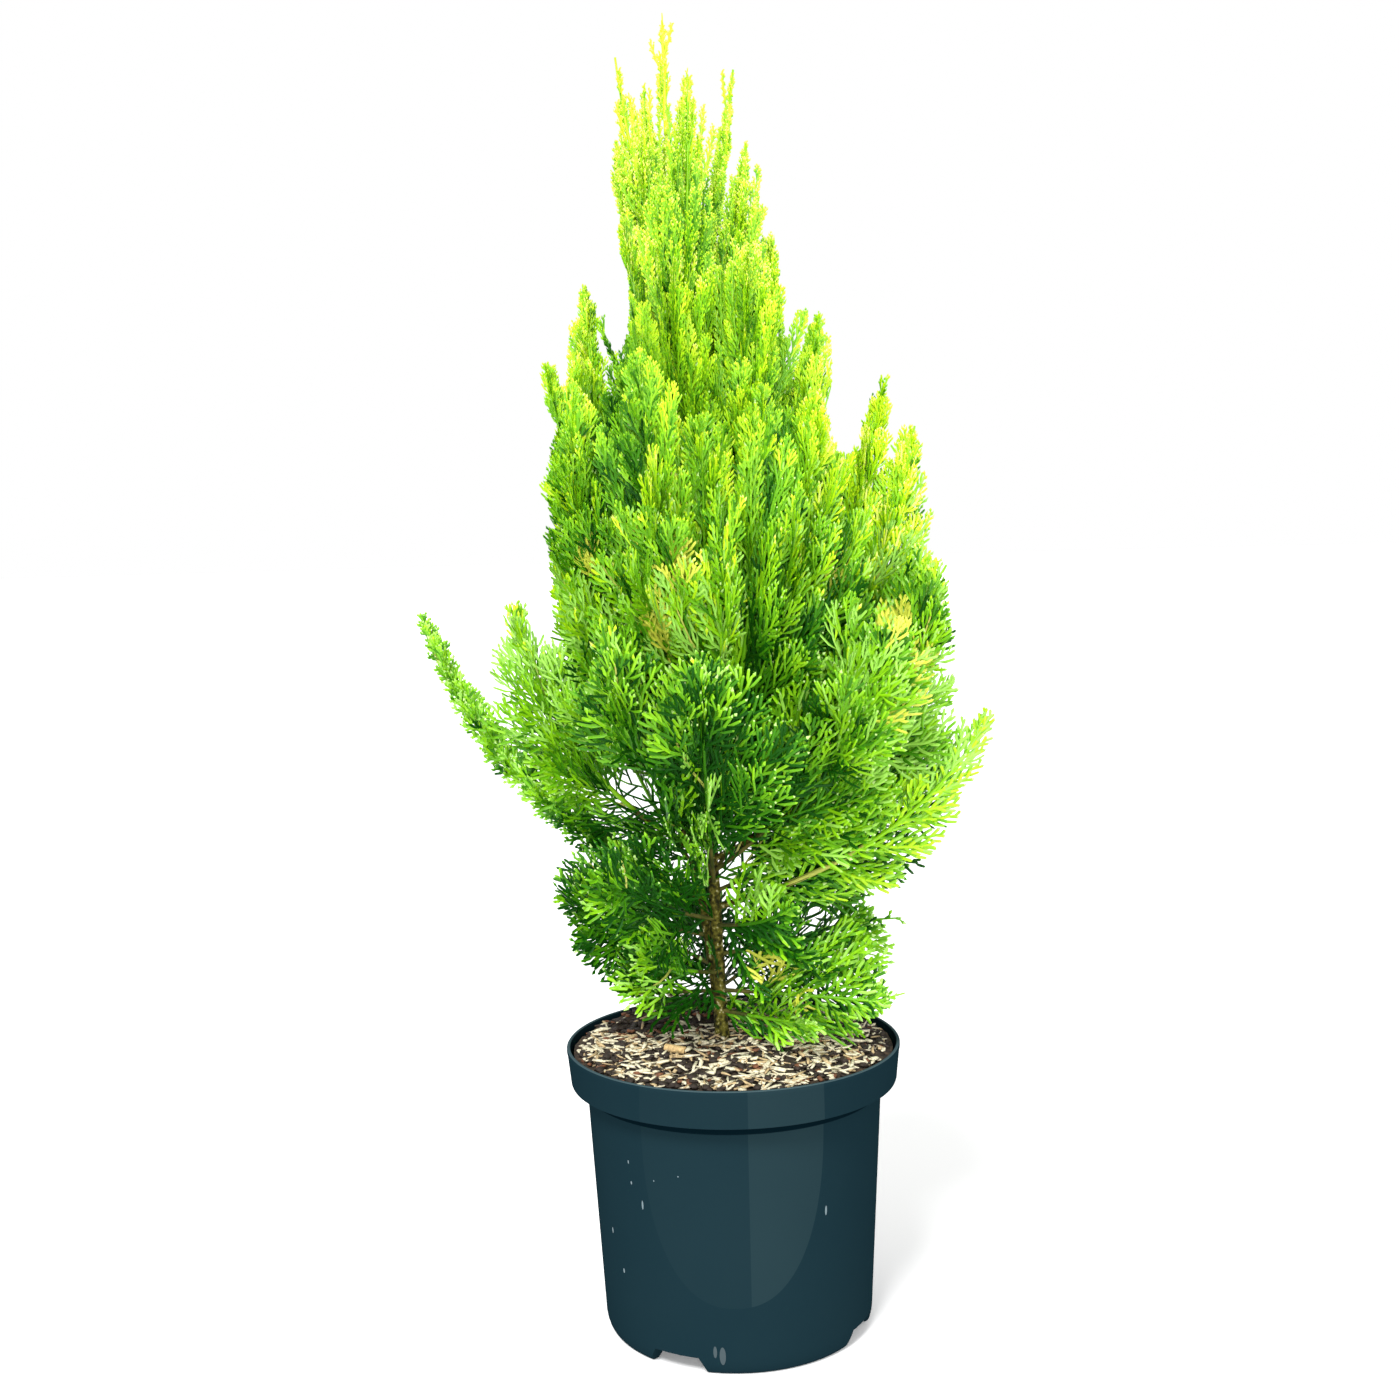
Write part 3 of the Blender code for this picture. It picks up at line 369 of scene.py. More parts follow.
LEAF_TONES = {
    "leaf_cream": (0.80, 0.88, 0.17),
    "leaf_lime": (0.62, 0.84, 0.018),
    "leaf_bright": (0.43, 0.74, 0.006),
    "leaf_fresh": (0.245, 0.56, 0.005),
    "leaf_mid": (0.130, 0.385, 0.005),
    "leaf_deep": (0.042, 0.195, 0.003),
    "leaf_dark": (0.007, 0.072, 0.002),
    "leaf_tan": (0.62, 0.67, 0.065),
    "leaf_rib": (0.46, 0.48, 0.090),
    "leaf_painted_highlight": (0.47, 0.71, 0.21),
    "leaf_soft": (0.32, 0.65, 0.080),
}
DARKEST = 6
DEEPEST_RIB = 5.3
TAN_SLOT = 7
RIB_SLOT = 8
HIGHLIGHT_SLOT = 9
HIGHLIGHT_ABOVE = 5
SOFT_SLOT = 10
FAN_SLOT = 2
SOFT_ABOVE = 3
SOFT_HEIGHTS = (0.56, 0.72)

# The share of the tips that take the pale tone, a painted highlight, by height
HIGHLIGHT_HEIGHTS = (0.30, 0.50, 0.65, 0.80, 0.90)
HIGHLIGHT_SHARES = (0.34, 0.26, 0.08, 0.01, 0.0)


# Paths


def bezier(start, bend, end, t):
    return start * (1 - t) ** 2 + bend * (2 * t * (1 - t)) + end * t * t


def bezier_heading(start, bend, end, t):
    return ((bend - start) * (1 - t) + (end - bend) * t).normalized()


def limb_share_at(limb, height):
    low, high = 0.0, 1.0
    for _ in range(40):
        middle = (low + high) / 2
        if bezier(limb.foot, limb.bend, limb.tip, middle).z < height:
            low = middle
        else:
            high = middle
    return (low + high) / 2


class Path:
    """The way from a limb to a mass's tip, as in the solids."""

    def __init__(self, mass):
        self.mass = mass
        share = limb_share_at(mass.limb, mass.root)
        self.start = bezier(mass.limb.foot, mass.limb.bend, mass.limb.tip, share)
        self.end = Vector(mass.tip)
        reach = self.end - self.start
        level = Vector((reach.x, reach.y, 0))
        lift = 0.30 if mass.bare else 0.42
        self.bend = self.start + level * 0.74 + Vector((0, 0, reach.z * lift))
        self.length = sum((self.at(k / 40) - self.at((k + 1) / 40)).length for k in range(40))

    def at(self, t):
        return bezier(self.start, self.bend, self.end, t)

    def heading(self, t):
        return bezier_heading(self.start, self.bend, self.end, t)

    def radius(self, t):
        root = BOUGH_ROOT_RADIUS if self.mass.bare else STEM_ROOT_RADIUS
        return root + (STEM_TIP_RADIUS - root) * t


# Materials


def new_material(name, colour, roughness):
    made = bpy.data.materials.new(name)
    made.use_nodes = True
    shader = made.node_tree.nodes["Principled BSDF"]
    shader.inputs["Base Color"].default_value = (*colour, 1.0)
    shader.inputs["Roughness"].default_value = roughness
    return made, made.node_tree, shader


def add_noise(tree, scale, detail=4.0, coordinates="Object"):
    place = tree.nodes.new("ShaderNodeTexCoord")
    found = tree.nodes.new("ShaderNodeTexNoise")
    found.inputs["Scale"].default_value = scale
    found.inputs["Detail"].default_value = detail
    tree.links.new(place.outputs[coordinates], found.inputs["Vector"])
    return found


def add_bump(tree, shader, height, strength, distance):
    bump = tree.nodes.new("ShaderNodeBump")
    bump.inputs["Strength"].default_value = strength
    bump.inputs["Distance"].default_value = distance
    tree.links.new(height, bump.inputs["Height"])
    tree.links.new(bump.outputs["Normal"], shader.inputs["Normal"])


def add_ramp(tree, factor, stops):
    ramp = tree.nodes.new("ShaderNodeValToRGB")
    for index, (place, colour) in enumerate(stops):
        if index < 2:
            stop = ramp.color_ramp.elements[index]
            stop.position = place
        else:
            stop = ramp.color_ramp.elements.new(place)
        stop.color = (*colour, 1.0)
    tree.links.new(factor, ramp.inputs["Fac"])
    return ramp


def add_mix(tree, factor, first, colour):
    """The first colour, mixed with a plain one by the factor."""
    mixed = tree.nodes.new("ShaderNodeMix")
    mixed.data_type = "RGBA"
    tree.links.new(factor, mixed.inputs["Factor"])
    tree.links.new(first, mixed.inputs[6])
    mixed.inputs[7].default_value = (*colour, 1.0)
    return mixed.outputs[2]


def leaf_material(name, colour):
    """Scale leaves: a plain colour with a fine scaly bump."""
    made, tree, shader = new_material(name, colour, 0.38)
    shader.inputs["Specular IOR Level"].default_value = 0.08 + 0.30 * min(1.0, colour[1] / 0.6)
    scales = add_noise(tree, 900.0, 2.0)
    add_bump(tree, shader, scales.outputs["Fac"], 0.25, 0.0004)
    return made


def bark_material():
    """Olive-brown bark with darker furrows and pale flecks."""
    made, tree, shader = new_material("bark", (0.10, 0.066, 0.024), 0.8)
    shader.inputs["Specular IOR Level"].default_value = 0.15
    streaks = add_noise(tree, 240.0, 6.0)
    ramp = add_ramp(tree, streaks.outputs["Fac"], (
        (0.36, (0.007, 0.008, 0.001)),
        (0.50, (0.066, 0.060, 0.006)),
        (0.61, (0.150, 0.135, 0.020)),
        (0.70, (0.62, 0.58, 0.36)),
    ))
    place = tree.nodes.new("ShaderNodeTexCoord")
    split = tree.nodes.new("ShaderNodeSeparateXYZ")
    tree.links.new(place.outputs["Object"], split.inputs["Vector"])
    rise = tree.nodes.new("ShaderNodeMapRange")
    rise.inputs["From Min"].default_value = YOUNG_BARK[0]
    rise.inputs["From Max"].default_value = YOUNG_BARK[1]
    tree.links.new(split.outputs["Z"], rise.inputs["Value"])
    young = add_mix(tree, rise.outputs["Result"], ramp.outputs["Color"], YOUNG_BARK_COLOUR)
    tree.links.new(young, shader.inputs["Base Color"])
    add_bump(tree, shader, streaks.outputs["Fac"], 0.6, 0.0010)
    return made


def twig_material():
    made, tree, shader = new_material("twig", (0.45, 0.40, 0.10), 0.6)
    shader.inputs["Specular IOR Level"].default_value = 0.15
    mottle = add_noise(tree, 60.0, 3.0)
    ramp = add_ramp(tree, mottle.outputs["Fac"], (
        (0.35, (0.045, 0.060, 0.010)),
        (0.65, (0.130, 0.115, 0.026)),
    ))
    tree.links.new(ramp.outputs["Color"], shader.inputs["Base Color"])
    return made


def pot_material():
    """Dark teal plastic, a little lighter where a painted sheen stands for a reflection on the front under the collar,
    with a painted shadow just under the collar and a painted highlight along the rim's top.
    """
    made, tree, shader = new_material("pot_plastic", POT_COLOUR, 0.22)
    shader.inputs["Specular IOR Level"].default_value = 0.0
    place = tree.nodes.new("ShaderNodeTexCoord")
    split = tree.nodes.new("ShaderNodeSeparateXYZ")
    tree.links.new(place.outputs["Object"], split.inputs["Vector"])

    def worked(operation, first, second=None, third=None):
        node = tree.nodes.new("ShaderNodeMath")
        node.operation = operation
        for socket, value in zip(node.inputs, (first, second, third)):
            if isinstance(value, (int, float)):
                socket.default_value = value
            elif value is not None:
                tree.links.new(value, socket)
        return node.outputs["Value"]

    # painted sheen: a lighter patch on the front under the collar, lighter still on its right half, standing for a
    # reflection
    across = worked("DIVIDE", worked("SUBTRACT", split.outputs["X"], SHEEN_MIDDLE), SHEEN_HALF_WIDTH)
    down = worked("DIVIDE", worked("SUBTRACT", POT_HEIGHT - COLLAR_HEIGHT, split.outputs["Z"]), SHEEN_DEPTH)
    bend = worked("ADD", worked("POWER", worked("ABSOLUTE", across), 2.4), worked("POWER", worked("ABSOLUTE", down), 2.4))
    inside = worked("MULTIPLY", worked("LESS_THAN", bend, 1.0), worked("LESS_THAN", split.outputs["Y"], 0.0))
    rightward = worked("MULTIPLY", inside, worked("GREATER_THAN", split.outputs["X"], SHEEN_STEP))
    shade = worked("ADD", worked("MULTIPLY", inside, 0.18), worked("MULTIPLY", rightward, 0.55))
    mottle = add_noise(tree, 14.0, 5.0)
    shade = worked("ADD", shade, worked("MULTIPLY", mottle.outputs["Fac"], 0.25))
    ramp = add_ramp(tree, shade, ((0.0, POT_COLOUR), (1.0, POT_SHEEN)))
    foot = POT_HEIGHT - COLLAR_HEIGHT
    # painted shadow: a darker band just under the collar's edge
    under = worked("MULTIPLY", worked("LESS_THAN", split.outputs["Z"], foot - 0.0002),
                   worked("GREATER_THAN", split.outputs["Z"], foot - COLLAR_SHADOW_DEPTH))
    # painted highlight: a thin lighter line along the top of the rim
    lip = worked("GREATER_THAN", split.outputs["Z"], POT_HEIGHT - LIP_HIGHLIGHT_DEPTH)
    collar_shadowed = add_mix(tree, under, ramp.outputs["Color"], POT_COLLAR_SHADOW)
    lip_highlighted = add_mix(tree, lip, collar_shadowed, POT_LIP_HIGHLIGHT)
    tree.links.new(lip_highlighted, shader.inputs["Base Color"])
    return made


def soil_material():
    made, tree, shader = new_material("potting_soil", (0.035, 0.022, 0.013), 0.95)
    crumbs = add_noise(tree, 220.0, 6.0)
    ramp = add_ramp(tree, crumbs.outputs["Fac"], (
        (0.35, (0.012, 0.008, 0.005)),
        (0.60, (0.055, 0.034, 0.018)),
        (0.75, (0.14, 0.090, 0.050)),
    ))
    tree.links.new(ramp.outputs["Color"], shader.inputs["Base Color"])
    add_bump(tree, shader, crumbs.outputs["Fac"], 0.9, 0.003)
    return made


def chip_material(name, colour):
    made, tree, shader = new_material(name, colour, 0.75)
    grain = add_noise(tree, 500.0, 4.0)
    dark = tuple(0.55 * c for c in colour)
    ramp = add_ramp(tree, grain.outputs["Fac"], ((0.35, dark), (0.65, colour)))
    tree.links.new(ramp.outputs["Color"], shader.inputs["Base Color"])
    add_bump(tree, shader, grain.outputs["Fac"], 0.4, 0.0006)
    return made


# Meshes


def mesh_object(name, points, triangles, materials, slots=None, smooth=False):
    """One object from arrays of points and triangles, with a material slot for each triangle."""
    mesh = bpy.data.meshes.new(name)
    mesh.vertices.add(len(points))
    mesh.vertices.foreach_set("co", np.ascontiguousarray(points, np.float32).ravel())
    mesh.loops.add(3 * len(triangles))
    mesh.loops.foreach_set("vertex_index", np.ascontiguousarray(triangles, np.int32).ravel())
    mesh.polygons.add(len(triangles))
    mesh.polygons.foreach_set("loop_start", np.arange(0, 3 * len(triangles), 3, dtype=np.int32))
    for made in materials:
        mesh.materials.append(made)
    if slots is not None:
        mesh.polygons.foreach_set("material_index", np.ascontiguousarray(slots, np.int32))
    mesh.update(calc_edges=True)
    mesh.validate()
    obj = bpy.data.objects.new(name, mesh)
    bpy.context.scene.collection.objects.link(obj)
    if smooth:
        mesh.shade_smooth()
    return obj


def dress(obj, slot, *nodes):
    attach(obj, "root")
    if nodes:
        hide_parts(*nodes)


def unit(vectors):
    return vectors / np.maximum(np.linalg.norm(vectors, axis=-1, keepdims=True), 1e-9)


Strands = namedtuple("Strands", "root start end normal length width tone owner")


def strand_mesh(strands, shares, widths, ridge=0.45):
    """Tapering strands with a ridge along the top that end in a blunt point: arrays of points and
    triangles and, for each triangle, its strand and whether it is at the foot (1) or the tip (-1)."""
    count, rings = len(strands.length), len(shares)
    points = np.zeros((count, 3 * rings + 1, 3))
    for ring, (share, wide) in enumerate(zip(shares, widths)):
        turn = strands.start + (strands.end - strands.start) * share
        centre = strands.root + strands.length[:, None] * share * (strands.start + turn) / 2
        side = unit(np.cross(strands.normal, turn))
        across = side * (strands.width * wide / 2)[:, None]
        over = strands.normal * (strands.width * wide * ridge)[:, None]
        points[:, 3 * ring] = centre - across
        points[:, 3 * ring + 1] = centre + over
        points[:, 3 * ring + 2] = centre + across
    points[:, -1] = strands.root + strands.length[:, None] * (strands.start + strands.end) / 2
    pattern = []
    for ring in range(rings - 1):
        for k in (0, 1):
            a, b = 3 * ring + k, 3 * ring + k + 3
            pattern += [(a, a + 1, b + 1), (a, b + 1, b)]
    last = 3 * (rings - 1)
    ends = [1] * min(4, len(pattern)) + [0] * (len(pattern) - 4) + [-1, -1]
    pattern += [(last, last + 1, 3 * rings), (last + 1, last + 2, 3 * rings)]
    stride = 3 * rings + 1
    if shares[0] > 0:
        points = np.concatenate([points, strands.root[:, None]], axis=1)
        pattern += [(1, 0, stride), (2, 1, stride)]
        ends += [1, 1]
        stride += 1
    pattern = np.array(pattern)
    triangles = (pattern[None] + (np.arange(count) * stride)[:, None, None]).reshape(-1, 3)
    return points.reshape(-1, 3), triangles, np.repeat(np.arange(count), len(pattern)), np.tile(ends, count)


def chosen(strands, index):
    return Strands(*(values[index] for values in strands))


def joined(parts):
    return Strands(*(np.concatenate(values) for values in zip(*parts)))


# Growth


def tube(points, radii, sides, seed=0, relief=0.0):
    """A closed tube along the points, with a relief of ridges and knobs on its skin."""
    points = np.asarray(points)
    run = np.gradient(points, axis=0)
    heading = unit(run)
    level = unit(np.cross(heading, np.array([0, 0, 1.0]) + 1e-6))
    over = unit(np.cross(level, heading))
    angles = np.linspace(0, 2 * np.pi, sides, endpoint=False)
    found = []
    for k in range(len(points)):
        ring = level[k] * np.cos(angles)[:, None] + over[k] * np.sin(angles)[:, None]
        grown = np.ones(sides)
        if relief:
            for j in range(sides):
                place = Vector((3.2 * math.cos(angles[j]), 3.2 * math.sin(angles[j]), 90 * points[k][2] + seed))
                grown[j] += relief * noise.noise(place) + relief * 0.5 * noise.noise(place * 2.7)
        found.append(points[k] + ring * (radii[k] * grown)[:, None])
    found = np.concatenate(found + [points[:1], points[-1:]])
    triangles = []
    for k in range(len(points) - 1):
        for j in range(sides):
            n = (j + 1) % sides
            a, b = k * sides, (k + 1) * sides
            triangles += [(a + j, b + n, a + n), (a + j, b + j, b + n)]
    first, last = len(found) - 2, len(found) - 1
    for j in range(sides):
        n = (j + 1) % sides
        triangles.append((j, n, first))
        triangles.append(((len(points) - 1) * sides + n, (len(points) - 1) * sides + j, last))
    return found, np.array(triangles)


def stack(parts):
    """Several meshes of (points, triangles) as one."""
    points, triangles, start = [], [], 0
    for some, faces in parts:
        points.append(some)
        triangles.append(faces + start)
        start += len(some)
    return np.concatenate(points), np.concatenate(triangles)


def make_limbs(paths):
    """Bark with relief on the trunk, the second stem and the boughs."""
    parts = []
    for seed, limb in enumerate((TRUNK, LEFT_STEM)):
        shares = np.linspace(0, 1, 240)
        points = np.array([tuple(bezier(limb.foot, limb.bend, limb.tip, t)) for t in shares])
        radii = limb.foot_radius + (limb.tip_radius - limb.foot_radius) * shares
        rise = points[:, 2] - points[0, 2]
        radii = radii * (1 + 0.45 * np.exp(-rise / 0.007))
        for height in np.arange(0.03, 0.7, 0.031):
            radii = radii * (1 + 0.10 * np.exp(-((rise - height) / 0.004) ** 2))
        parts.append(tube(points, radii, 18, seed * 40, 0.16))
    for index, path in enumerate(paths):
        if path.mass.bare:
            shares = np.linspace(0.004, path.mass.bare, 40)
            points = np.array([tuple(path.at(t)) for t in shares])
            radii = np.array([path.radius(t) for t in shares])
            parts.append(tube(points, radii, 12, 100 + index, 0.14))
    points, triangles = stack(parts)
    obj = mesh_object("bark_limbs", points, triangles, [bark_material()], smooth=True)
    boughs = [f"bough_{path.mass.name}" for path in paths if path.mass.bare]
    dress(obj, "bark", "trunk", "left_stem", *boughs)


def by_height(values, height):
    return np.interp(height, HEIGHTS, values)


def sprays_of(path, owner):
    """The ribs of one mass, as strands: alternate, flat to the mass's own facing, every third across."""
    chance = random.Random(SEED + owner)
    mass = path.mass
    first = max(mass.bare * GROWN_BARE, 0.03)
    slim = SLIM.get(mass.name, 1.0)
    facing = Matrix.Rotation(math.radians(chance.uniform(-FACING_SPREAD, FACING_SPREAD)), 3, "Z")
    facing = facing @ Vector((0, -1, 0))
    rows = []
    t, k = first, 0
    while t < 0.985:
        place = (t - first) / (1 - first)
        heading = path.heading(t)
        outward = facing.cross(heading).normalized() * (1 if k % 2 else -1)
        turn = chance.gauss(0, 38) + (90 if k % 3 == 2 else 0)
        if mass.name in FLAT:
            turn = chance.gauss(0, FLAT_SPREAD)
        lean = Matrix.Rotation(math.radians(turn), 3, heading) @ outward
        height = path.at(t).z
        opening = math.radians(by_height(RIB_OPENING, height) * chance.uniform(0.75, 1.25))
        opening *= (1.1 - 0.35 * place) * (0.4 + 0.6 * slim)
        left = path.length * (1 - t)
        shrink = chance.uniform(0.26, 0.66) if mass.name in SLENDER else chance.uniform(0.42, 1.02)
        length = min(mass.spray * chance.uniform(0.75, 1.20), left * shrink + 0.007,
                     by_height(RIB_LENGTH, height) * chance.uniform(0.7, 1.1))
        length *= (0.55 + 0.45 * min(1, place / 0.12)) * slim
        if mass.name in ("left_tail", "right_tail") and outward.z < 0:
            length *= LOW_SIDE
        start = heading * math.cos(opening) + lean * math.sin(opening)
        towards = heading * 0.7 + Vector((0, 0, 0.6))
        bend = (towards - start * towards.dot(start)).normalized()
        bend = Matrix.Rotation(math.radians(chance.gauss(0, 12)), 3, start) @ bend
        end = start * math.cos(RIB_SWEEP) + bend * math.sin(RIB_SWEEP)
        normal = start.cross(bend).normalized()
        if k % 6 != 5 or mass.name in FLAT:
            tilted = Matrix.Rotation(math.radians(chance.gauss(0, 22)), 3, start) @ facing
            flat = (tilted - start * start.dot(tilted)).normalized()
            normal = flat if flat.dot(normal) >= 0 else -flat
        rows.append((path.at(t), start, end, normal, length, place))
        pitch = by_height(RIB_PITCH, height) * (FLAT_PITCH if mass.name in FLAT else slim)
        t += pitch * chance.uniform(0.7, 1.3) / path.length
        k += 1
    length = 0.45 * mass.spray
    t = 1 - length / path.length
    start = path.heading(t)
    normal = (facing - start * facing.dot(start)).normalized()
    rows.append((path.at(t), start, (path.end - path.at(t)).normalized(), normal, length * 0.97, 1.0))
    root, start, end, normal, length, place = zip(*rows)
    as_array = lambda values: np.array([tuple(v) for v in values])
    number = len(rows)
    return Strands(as_array(root), as_array(start), as_array(end), as_array(normal), np.array(length),
                   np.full(number, FLAT_RIB_WIDTH if mass.name in FLAT else RIB_WIDTH), np.array(place),
                   np.full(number, owner))


def sprig_strands(paths):
    """The single sprigs of the crest, each from its mass's stem to its own tip."""
    names = [path.mass.name for path in paths]
    rows = []
    for sprig in SPRIGS:
        owner = names.index(sprig.mass)
        root = paths[owner].at(sprig.share)
        way = Vector(sprig.tip) - root
        straight = way.normalized()
        outward = Vector((straight.x, straight.y, 0)).normalized() * SPRIG_BOW
        normal = (Vector((0, -1, 0)) + straight * straight.y).normalized()
        rows.append((tuple(root), tuple(straight + outward), tuple(straight - outward), tuple(normal),
                     way.length, owner))
    root, start, end, normal, length, owner = (np.array(values) for values in zip(*rows))
    number = len(rows)
    return Strands(root, start, end, normal, length, np.full(number, RIB_WIDTH), np.ones(number), owner)


def green_from(path):
    """The share of its way from which a mass's stem is green; in the crest it is green all along."""
    return 0.004 if path.mass.root > GREEN_ABOVE else GREEN_FROM


def tips_of(strands, share=1.0):
    turn = strands.start + (strands.end - strands.start) * share
    return strands.root + strands.length[:, None] * share * (strands.start + turn) / 2


def beyond_crown(points):
    """How far points lie out of the crown's outline: over 1 is outside."""
    heights, lefts, rights, depths = zip(*CROWN)
    left = np.interp(points[:, 2], heights, lefts)
    right = np.interp(points[:, 2], heights, rights)
    depth = np.interp(points[:, 2], heights, depths)
    across = np.abs(points[:, 0] - (right - left) / 2) / ((right + left) / 2)
    along = np.abs(points[:, 1]) / depth
    return across ** CROWN_ROUNDNESS + along ** CROWN_ROUNDNESS


def drawn_in(strands, free, most, least):
    """Strands shortened where they would leave the crown's outline, and dropped where that fails."""
    length = strands.length.copy()
    for _ in range(8):
        tips = tips_of(strands._replace(length=length))
        outside = (beyond_crown(tips) > most) & ~(free & (tips[:, 2] > OUTLYING_ABOVE))
        length = np.where(outside, length * 0.85, length)
    return strands._replace(length=length), ~(outside & (length < least))


def view_away(points, place):
    """How far points appear from the middle of a place of the view, where 1 is its border."""
    eye = np.array(CAMERA_PLACE)
    share = (0 - eye[1]) / (points[:, 1] - eye[1])
    seen = eye + (points - eye) * share[:, None]
    return np.hypot((seen[:, 0] - place.across) / place.half_width, (seen[:, 2] - place.up) / place.half_height)


def sky_share(points):
    """The share of what lies at these points that the openings lack."""
    found = np.zeros(len(points))
    for place in SKY_PLACES:
        found = np.maximum(found, np.where(view_away(points, place) < 1, place.amount, 0))
    for place in CLEAR_PLACES:
        before = (view_away(points, place) < 1) & (points[:, 1] < 0)
        found = np.maximum(found, np.where(before, place.amount, 0))
    return found


def shade_of(points):
    """How many steps darker the sprays at these points are."""
    found = np.zeros(len(points))
    for place in SHADE_PLACES:
        found += place.amount * np.clip(1.8 - 1.5 * view_away(points, place), 0, 1)
    return np.where(points[:, 1] < SHADE_DEPTH_LIMIT, found, 0)


def kept_to_cells(ribs, paths):
    """Ribs drawn in, or left out, where they would leave the space of their own mass."""
    stems = np.array([[tuple(path.at(k / 24)) for k in range(25)] for path in paths])
    length = ribs.length.copy()
    for _ in range(4):
        tips = tips_of(ribs._replace(length=length), 0.9)
        away = np.linalg.norm(tips[:, None, None] - stems[None], axis=3).min(2)
        own = away[np.arange(len(tips)), ribs.owner]
        away[np.arange(len(tips)), ribs.owner] = 9
        crowded = own > CELL_SLACK * away.min(1) + 0.004
        length = np.where(crowded, length * 0.80, length)
    return chosen(ribs._replace(length=length), np.nonzero(~crowded | (length > 0.03))[0])


def side_strands(parents, pitch, first, longest, slim, tight, share, pull, chance):
    """Side strands on both sides of each parent, alternately, in its plane. They are longest a little
    way up the parent and get shorter to its tip."""
    height = parents.root[:, 2]
    counts = np.round(parents.length * (1 - first) / (by_height(pitch, height) * tight)).astype(int)
    index = np.repeat(np.arange(len(counts)), counts)
    order = np.arange(len(index)) - np.repeat(np.cumsum(counts) - counts, counts)
    place = first + (1 - first) * (order + 0.5 + chance.uniform(-0.2, 0.2, len(index))) / counts[index]
    place = np.minimum(place, 0.97)
    side = np.where((order + index) % 2 == 0, 1.0, -1.0)
    start, end, normal = parents.start[index], parents.end[index], parents.normal[index]
    turn = start + (end - start) * place[:, None]
    length = parents.length[index]
    root = parents.root[index] + (length * place)[:, None] * (start + turn) / 2
    turn = unit(turn)
    across = unit(np.cross(normal, turn))
    opening = np.radians(by_height(BRANCH_ANGLE, root[:, 2]))
    opening = opening * (1.10 - 0.30 * place) * chance.uniform(0.82, 1.15, len(index))
    tilt = chance.normal(0, 0.13, len(index))[:, None] * normal
    heading = unit(turn * np.cos(opening)[:, None] + across * (side * np.sin(opening))[:, None] + tilt)
    closed = opening * CLOSING
    ending = unit(turn * np.cos(closed)[:, None] + across * (side * np.sin(closed))[:, None] + tilt)
    upward = np.array([0, 0, 1.0]) * (pull * by_height(UPWARD_PULL, height[index]))[:, None]
    heading, ending = unit(heading + 0.4 * upward), unit(ending + upward)
    most = by_height(longest, root[:, 2]) * slim[index]
    grown = np.minimum(1.0, 0.60 + 1.5 * place)
    own = np.minimum(most * grown, share * length * (1.02 - place) + 0.28 * most)
    own = own * chance.uniform(0.78, 1.15, len(index))
    plane = unit(normal - heading * (normal * heading).sum(1)[:, None])
    thick = by_height(STRAND_WIDTH, root[:, 2])
    return Strands(root, heading, ending, plane, own, thick, place, index)


def tone_levels(centre, outer, bias, chance):
    """The tone of each spray, from 0 to 6: cream and lime at the top and the tips, deep green low and inside, partly
    the growth's own colour and partly painted shade.
    """
    height = centre[:, 2]
    level = np.interp(height, [0.25, 0.40, 0.50, 0.65, 0.80, 0.92, 1.00, 1.07],
                      [4.0, 4.0, 3.7, 3.1, 2.6, 1.75, 0.8, 0.1])
    # painted shade and light: sprays near the middle of the crown step darker and those at its outside lighter, the
    # more so low down
    deep = np.interp(height, [0.45, 0.80], [2.6, 0.3])
    uneven = chance.normal(0, 1, len(height)) * np.interp(height, [0.50, 0.70], [0.42, 0.25])
    return np.minimum(level + deep * (0.50 - outer) - bias + shade_of(centre) + uneven, DEEPEST_RIB)


def tan_strands(strands, chance):
    """Which strands lie in one of the tan sprays."""
    middle = tips_of(strands, 0.4)
    found = np.zeros(len(middle), bool)
    for place in TAN_PLACES:
        found |= view_away(middle, place) < 1
    return found & (middle[:, 1] < 0) & (chance.uniform(0, 1, len(middle)) < TAN_CHANCE)


